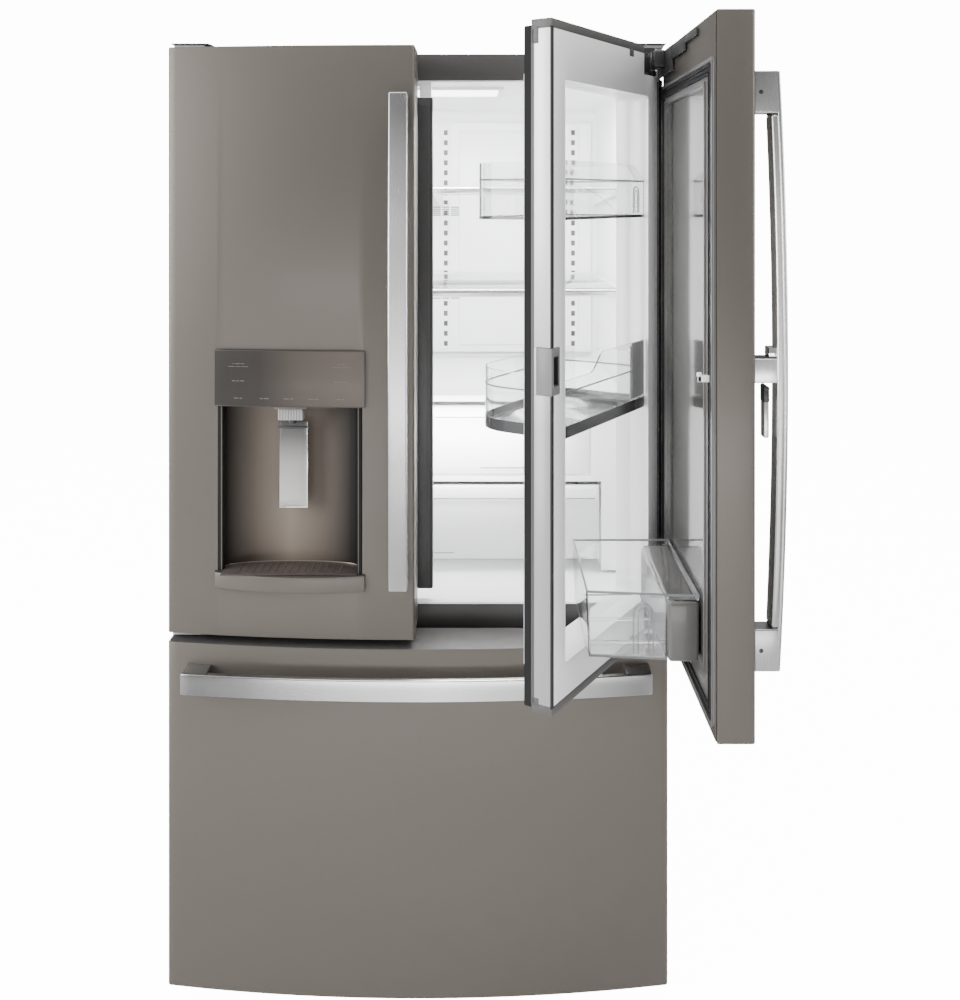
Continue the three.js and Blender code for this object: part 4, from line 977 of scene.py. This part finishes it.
def outer_liner_parts():
    """The inner skin stops short of the leaf's top, where the black hinge arm runs along the
    edge."""
    x, z = (DOOR_FREE + 4, HALF - 4), (DOOR_LOW + 18, DOOR_HIGH - 66)
    field_x, field_z = (66.0, 402.0), (770.0, 1640.0)
    wide = (field_x[0] - x[0], x[1] - field_x[1], field_z[0] - z[0], z[1] - field_z[1])
    made = [ring("y", x, z, (22.4, 27), wide, r=1.2, corner=16, seg=3)]
    made.append(block((DOOR_FREE + 3, HALF - 3), (22.3, 24), (DOOR_LOW + 3, DOOR_HIGH - 3),
                      r=0.6, m=4))
    made.append(block((field_x[0] - 4, field_x[1] + 4), (22.4, 24.2),
                      (field_z[0] - 4, field_z[1] + 4), r=0.4, seg=1, m=1))
    made.append(ring("y", (field_x[0] - 7, field_x[1] + 7), (field_z[0] - 7, field_z[1] + 7),
                     (26, 29.4), 7, r=1.4, corner=22, seg=4))
    for k, deep, m in ((0, 29, 0), (7, 29.6, 2), (13, 28.6, 2), (19, 29.6, 2)):
        made.append(ring("y", (x[0] + 2 + k, x[1] - 14 - k), (z[0] + 3 + k, z[1] - 3 - k),
                         (26.6, deep), 4.8, r=1.6, corner=12, m=m, seg=3))
    # the fin that closes the gap at the hinge, and the raised block behind the deep bin
    made.append(block((443, 450), (26, 36), (736, 1690), r=1.5, seg=3, m=2))
    made.append(block((102, 371), (27, 75), (758, 850), r=6, seg=4))
    made.append(block((110, 363), (73, 75.8), (766, 842), r=3, seg=3, m=5))
    for low, high in ((686, 719), (1708, 1741)):
        made.append(block((400, 452), (27, 50), (low, high), r=5, seg=3, m=3))
        made.append(rod(13, "z", (low + 2, high - 2), (HINGE_X - 12, HINGE_Y + 6),
                        seg=28, r=2, m=3))
        made.append(rod(5.5, "z", (low + 4, high - 4), (HINGE_X + 1, HINGE_Y + 8),
                        seg=20, r=1, m=6))
    # the hinge arm narrows in three steps along the top edge, over a plain one at the bottom
    for x, z in (((330, 452), (1694, 1740)), ((215, 334), (1714, 1739)),
                 ((120, 219), (1725, 1737)), ((330, 452), (686, 724))):
        made.append(block(x, (26, 29.4), z, r=1.2, m=3))
    return made


piece("outer_liner_body", "outer_door", outer_liner_parts(),
      [dark_liner, gloss_dark, rubber, black, slate, graphite, zinc], ["outer_door_liner"])


def deep_bin():
    """The bin hangs in front of the raised block with a shallow lip over it; its free end is
    cut back."""
    free, far, low, high = 99, 371, 761, 862
    open_above = high - 2

    def end_at(y):
        return free + 19 * (y - 27) / 173

    side = [(75.6, low), (196, low), (200, high), (27.6, high), (27.6, 851), (75.6, 851)]
    bm = prism(side, "x", (free, far))
    for v in bm.verts:
        if v.co.x < (free + far) / 2:
            v.co.x = end_at(v.co.y)
    open_up(bm, lambda f: f.normal.z > FACING and f.calc_center_median().z > open_above)
    upright = along("z", 0.9)
    soften(bm, 5, seg=4, angle=50, only=lambda e: max(v.co.z for v in e.verts) < open_above
           or upright(e))
    tidy(bm)
    bmesh.ops.solidify(bm, geom=bm.faces[:], thickness=2.6)
    made = [tidy(bm)]
    rim = [(end_at(28) - 0.4, 28), (far, 28), (far, 200), (end_at(200) - 0.4, 200)]
    made.append(band(rim, (high - 2.4, high + 0.4), 3.2, m=1))
    foot = [(end_at(76) - 0.3, 76), (far, 76), (far, 196), (end_at(196) - 0.3, 196)]
    made.append(band(foot, (low, low + 3), 2.6, m=1))
    for x in (160, 250):
        made.append(block((x, x + 2), (78, 194), (764, 769), r=0.6))
    for k in (0, 7):
        made.append(arch("x", (96 + k, 128 - k), (768, 846 - k), (end_at(112) + 3, end_at(112) + 6),
                         wide=1.6, m=1))
    return made


piece("deep_bin_tray", "outer_door", deep_bin(), [clear, edge_clear], ["outer_door_bin"])
piece("right_door_handle", "outer_door", bar_parts(1), [satin_painted_highlight, black, chrome], ["right_handle"])

TRIG_Y, TRIG_HIGH = FOOT - STAND + 30.6, HANDLE_MID - 21
piece("trigger_blade", "trigger", [
    block((FREE_IN + 7, FREE_IN + HANDLE_WIDE - 7), (TRIG_Y - 4.2, TRIG_Y + 4.2),
          (TRIG_HIGH - 78, TRIG_HIGH - 22), r=2.4, seg=3),
    block((FREE_IN + 6, FREE_IN + HANDLE_WIDE - 6), (TRIG_Y - 4.6, TRIG_Y + 4.6),
          (TRIG_HIGH - 26, TRIG_HIGH - 3), r=2.2, seg=3, m=1),
    rod(4, "x", (FREE_IN + 4, FREE_IN + HANDLE_WIDE - 4), (TRIG_Y, TRIG_HIGH - 5), seg=20,
        r=0.5, m=1),
], [satin_painted_highlight, black], ["handle_trigger"])
piece("latch_pin", "latch", [
    block((26, 34), (22.6, 46), (CATCH - 6, CATCH + 4), r=1.5, seg=3),
    block((26, 34), (39, 46), (CATCH - 6, CATCH + 8), r=1.5, seg=3),
], [white], ["latch_hook"])


# ---- Cabinet
BAY = 410.0  # half the width of the fresh food and freezer spaces
FRESH_Z = (704.0, 1693.0)
SHELF_TOPS = (1484.7, 1276.3, 1068.0)


def shell_parts():
    """The front frame, the two sides with their seams, and the top with its folds."""
    depth, z = (CASE_FRONT, CASE_SIDE_BACK), (CASE_LOW, CASE_TOP)
    front = grid("y", (-HALF, HALF), z, CASE_FRONT,
                 holes=[(-BAY, BAY, *FRESH_Z), (-BAY, BAY, 110, 636)])
    thicken(front, "y", CASE_FRONT + 2)
    upright = along("y")
    soften(front, 12, seg=4, only=lambda e: upright(e) and abs(e.verts[0].co.x) < BAY + 10)
    soften(front, 0.7, angle=50)
    made = [front]
    for s in (-1, 1):
        made.append(block(sides(HALF, HALF - 2, s), depth, z, r=0.8, m=1))
        made.append(block(sides(HALF + 0.3, HALF - 1.4, s), (86, 88), (34, 1739), r=0.4, seg=1))
        made.append(block(sides(HALF + 0.3, HALF - 1.4, s), (812, 816), (34, 1739), r=0.6,
                          seg=1, m=1))
    made.append(block((-HALF, HALF), depth, (CASE_TOP - 2, CASE_TOP), r=0.8, m=1))
    for fold in (300, 560):
        made.append(block((-400, 400), (fold, fold + 4), (CASE_TOP - 0.6, CASE_TOP + 1.2),
                          r=0.8, m=1))
    return made


piece("case_shell", "cabinet", shell_parts(), [charcoal, charcoal], ["cabinet_shell"])


def liner_parts():
    """A white box, open to the front, with shelf ribs, lamps at its sides and in its roof."""
    bm = cuboid((-BAY, BAY), (82.4, 775), FRESH_Z)
    open_up(bm, lambda f: f.normal.y < -FACING)
    soften(bm, 22, seg=5)
    bmesh.ops.reverse_faces(bm, faces=bm.faces[:])
    bmesh.ops.solidify(bm, geom=bm.faces[:], thickness=-2.4)
    made = [bm]
    for s in (-1, 1):
        for level in SHELF_TOPS:
            made.append(block(sides(BAY, BAY - 8, s), (238, 740), (level - 22, level - 15.5),
                              r=2.5, seg=3))
        made.append(block(sides(BAY, BAY - 7, s), (120, 150), (720, 1680), r=3, seg=3))
        made.append(block(sides(BAY - 0.5, BAY - 3.5, s), (175, 200), (1110, 1640), r=2, m=1))
    made.append(ring("y", (-BAY - 6, BAY + 6), (FRESH_Z[0] - 6, FRESH_Z[1] + 6), (80.6, 84), 6.2,
                     r=0.8, corner=14))
    made.append(block((-150, 150), (180, 330), (1686, 1692.4), r=2.5, seg=3, m=1))
    made.append(ring("z", (-160, 160), (170, 340), (1684.5, 1692.6), 11, r=2, corner=8, seg=3))
    return made


piece("fresh_liner", "cabinet", liner_parts(), [white, lamp], ["fresh_food_liner"])


def rear_panel_parts():
    """The panel carries four columns of shelf slots over a dark backing, and two air vents."""
    x, z = (-394.0, 394.0), (1082.0, 1661.0)
    columns, slots, pitch, slot_half, slot_tall = (-348.0, -26.0, 26.0, 348.0), 22, 25.4, 5, 13
    levels = [1096 + i * pitch for i in range(slots)]
    holes = [(c - slot_half, c + slot_half, at, at + slot_tall) for c in columns for at in levels]
    bm = grid("y", x, z, 766, holes=holes)
    thicken(bm, "y", 768.5)
    made = [bm]
    made.append(block((x[0] + 2, x[1] - 2), (769, 772), (z[0] + 2, z[1] - 2), r=0.5, seg=1, m=1))
    for c in columns:
        made.append(ring("y", (c - 13, c + 13), (z[0] + 6, z[1] - 6), (763.5, 766.5), 4.5, r=1.2))
    for vent in (1210, 1420):
        made.append(ring("y", (-120, 120), (vent, vent + 34), (764, 767), 4, r=1.2, corner=6))
        for slat in range(vent + 6, vent + 31, 5):
            made.append(block((-112, 112), (765, 767), (slat, slat + 2.4), r=0.6, seg=1, m=1))
    for span in ((-300, -60), (60, 300)):
        made.append(block(span, (762.5, 767), (1100, 1640), r=5, seg=3))
    return made


piece("rear_panel", "cabinet", rear_panel_parts(), [white, graphite], ["rear_duct_panel"])


def shelf_parts(x, top, front, back):
    """A glass pane in a white frame with a deeper front edge, on two brackets."""
    deep = 14
    made = [block((x[0] + 5, x[1] - 5), (front + 9, back - 6), (top - 4.4, top - 0.4), r=0.8)]
    made.append(ring("z", x, (front, back), (top - 6.5, top + 0.2), (7, 7, 12, 8), r=1.5,
                     corner=3, m=1))
    made.append(block(x, (front, front + 11), (top - deep, top + 1.2), r=2.6, seg=4, m=1))
    made.append(block((x[0] + 8, x[1] - 8), (front - 0.4, front + 2), (top - deep + 3.5, top - 3),
                      r=0.8, m=2))
    for s in (x[0] + 9, x[1] - 15):
        bracket = [(front + 12, top - 6), (back, top - 6), (back, top - 44), (back - 30, top - 40),
                   (front + 40, top - 13)]
        made.append(prism(bracket, "x", (s, s + 6), r=1.2, m=1))
        for k in (0, 1):
            made.append(block((s, s + 6), (back - 2, back + 8),
                              (top - 22 - 18 * k, top - 14 - 18 * k), r=1.5, m=1))
    return made


for name, shelf in (("shelf_upper_left", "upper_shelf_left"),
                    ("shelf_upper_right", "upper_shelf_right"), ("shelf_middle", "middle_shelf")):
    low, high = (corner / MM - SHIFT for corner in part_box(shelf))
    piece(name, "cabinet", shelf_parts((low.x, high.x), high.z - 1.2, low.y, high.y - 8),
          [shelf_glass, white, satin_across_painted_highlight], [shelf])


def drawer_parts(x, z, grip=30.0):
    """A clear drawer: a thick white-rimmed front with a finger lip, and a clear tub behind it."""
    front, back = 238.0, 715.0
    plan = dense(round_rect((x[0] + 4, x[1] - 4), (front + 8, back), 10, 4), 60)
    made = [vessel(plan, (z[0] + 1, z[1] - 6), 2.4)]
    made.append(ring("z", (x[0] + 1, x[1] - 1), (front + 6, back), (z[1] - 9, z[1] - 5), 7,
                     r=1.5, corner=10))
    made.append(block(x, (front, front + 9), z, r=3, seg=3))
    mid = (x[0] + x[1]) / 2
    made.append(block((x[0] + 2, x[1] - 2), (front - 0.2, front + 14), (z[1] - grip, z[1] - 2), r=5,
                      seg=4, m=1))
    made.append(block((x[0] + 8, x[1] - 8), (front - 0.4, front + 6),
                      (z[1] - grip + 4, z[1] - grip + 8), r=1.5, m=2))
    made.append(block((mid - 60, mid + 60), (front - 0.3, front + 2), (z[0] + 12, z[0] + 14),
                      r=0.6, m=2))
    return made


DRAWER_LOOKS = [drawer_clear, white, graphite]
CRISPER_Z = (908, 1048)
piece("crisper_left_tub", "cabinet", drawer_parts((-336, -10), CRISPER_Z), DRAWER_LOOKS,
      ["left_crisper"])
piece("crisper_right_tub", "crisper_right", drawer_parts((10, 336), CRISPER_Z), DRAWER_LOOKS,
      ["right_crisper"])
piece("wide_drawer_tub", "cabinet", drawer_parts((-356, 356), (735, 886), grip=34), DRAWER_LOOKS,
      ["wide_drawer"])

# ---- Camera, light and floor
cam_data = bpy.data.cameras.new("camera")
cam = add_object("camera", cam_data)
cam.location = (0.0588, -2.1605, 1.473)
cam.rotation_euler = (math.radians(90), 0, 0)
cam_data.lens = 38.6
cam_data.shift_y = -0.303
bpy.context.scene.camera = cam


def area(name, place, aim, size, power):
    data = bpy.data.lights.new(name, "AREA")
    data.shape = "RECTANGLE"
    data.size, data.size_y = size
    data.energy = power
    o = add_object(name, data)
    o.location = place
    o.rotation_euler = (Vector(aim) - Vector(place)).to_track_quat("-Z", "Y").to_euler()


area("softbox_left", (-2.8, -1.9, 1.9), (-0.1, -0.1, 0.9), (1.3, 2.8), power=165)
area("softbox_right", (2.9, -1.7, 2.2), (0.2, 0, 0.9), (1.2, 2.6), power=70)
area("softbox_top", (0, -0.9, 3.7), (0, 0, 0.8), (2.6, 1.6), power=70)
area("low_front", (0.1, -3.4, 0.15), (0, 0, 0.7), (3.2, 0.7), power=45)
area("cavity_top", (0.02, 0.0, 1.66), (0.02, 0.12, 1.0), (0.6, 0.2), power=17)
area("cavity_low", (-0.05, -0.06, 1.0), (-0.05, 0.5, 0.86), (0.5, 0.1), power=4)

WHITE = (1, 1, 1, 1)
BACKDROP = 14.0  # the strength at which the plain backdrop shows as white


def seen_only(tree, low):
    """A strength for the backdrop as the camera sees it, and a low one for all other light."""
    path = node(tree, "ShaderNodeLightPath")
    return node(tree, "ShaderNodeMapRange", {"Value": path.outputs["Is Camera Ray"], "To Min": low,
                                             "To Max": BACKDROP}).outputs[0]


world = bpy.data.worlds.new("studio")
bpy.context.scene.world = world
world.use_nodes = True
sky = world.node_tree
background = sky.nodes["Background"]
sky.links.new(seen_only(sky, 0.42), background.inputs["Strength"])
background.inputs["Color"].default_value = WHITE

floor_mesh = bpy.data.meshes.new("floor")
floor_bm = bmesh.new()
bmesh.ops.create_grid(floor_bm, x_segments=1, y_segments=1, size=14)
floor_bm.to_mesh(floor_mesh)
floor_bm.free()
floor = add_object("floor", floor_mesh)
pale = material("floor_pale", (0.92, 0.92, 0.92), rough=0.8, grain=40, vary=0.01, relief=0.0,
                edge=0, dust=0)
pale_shader = pale.node_tree.nodes["Principled BSDF"]
pale.node_tree.links.new(seen_only(pale.node_tree, 0.0), pale_shader.inputs["Emission Strength"])
pale_shader.inputs["Emission Color"].default_value = WHITE
floor_mesh.materials.append(pale)
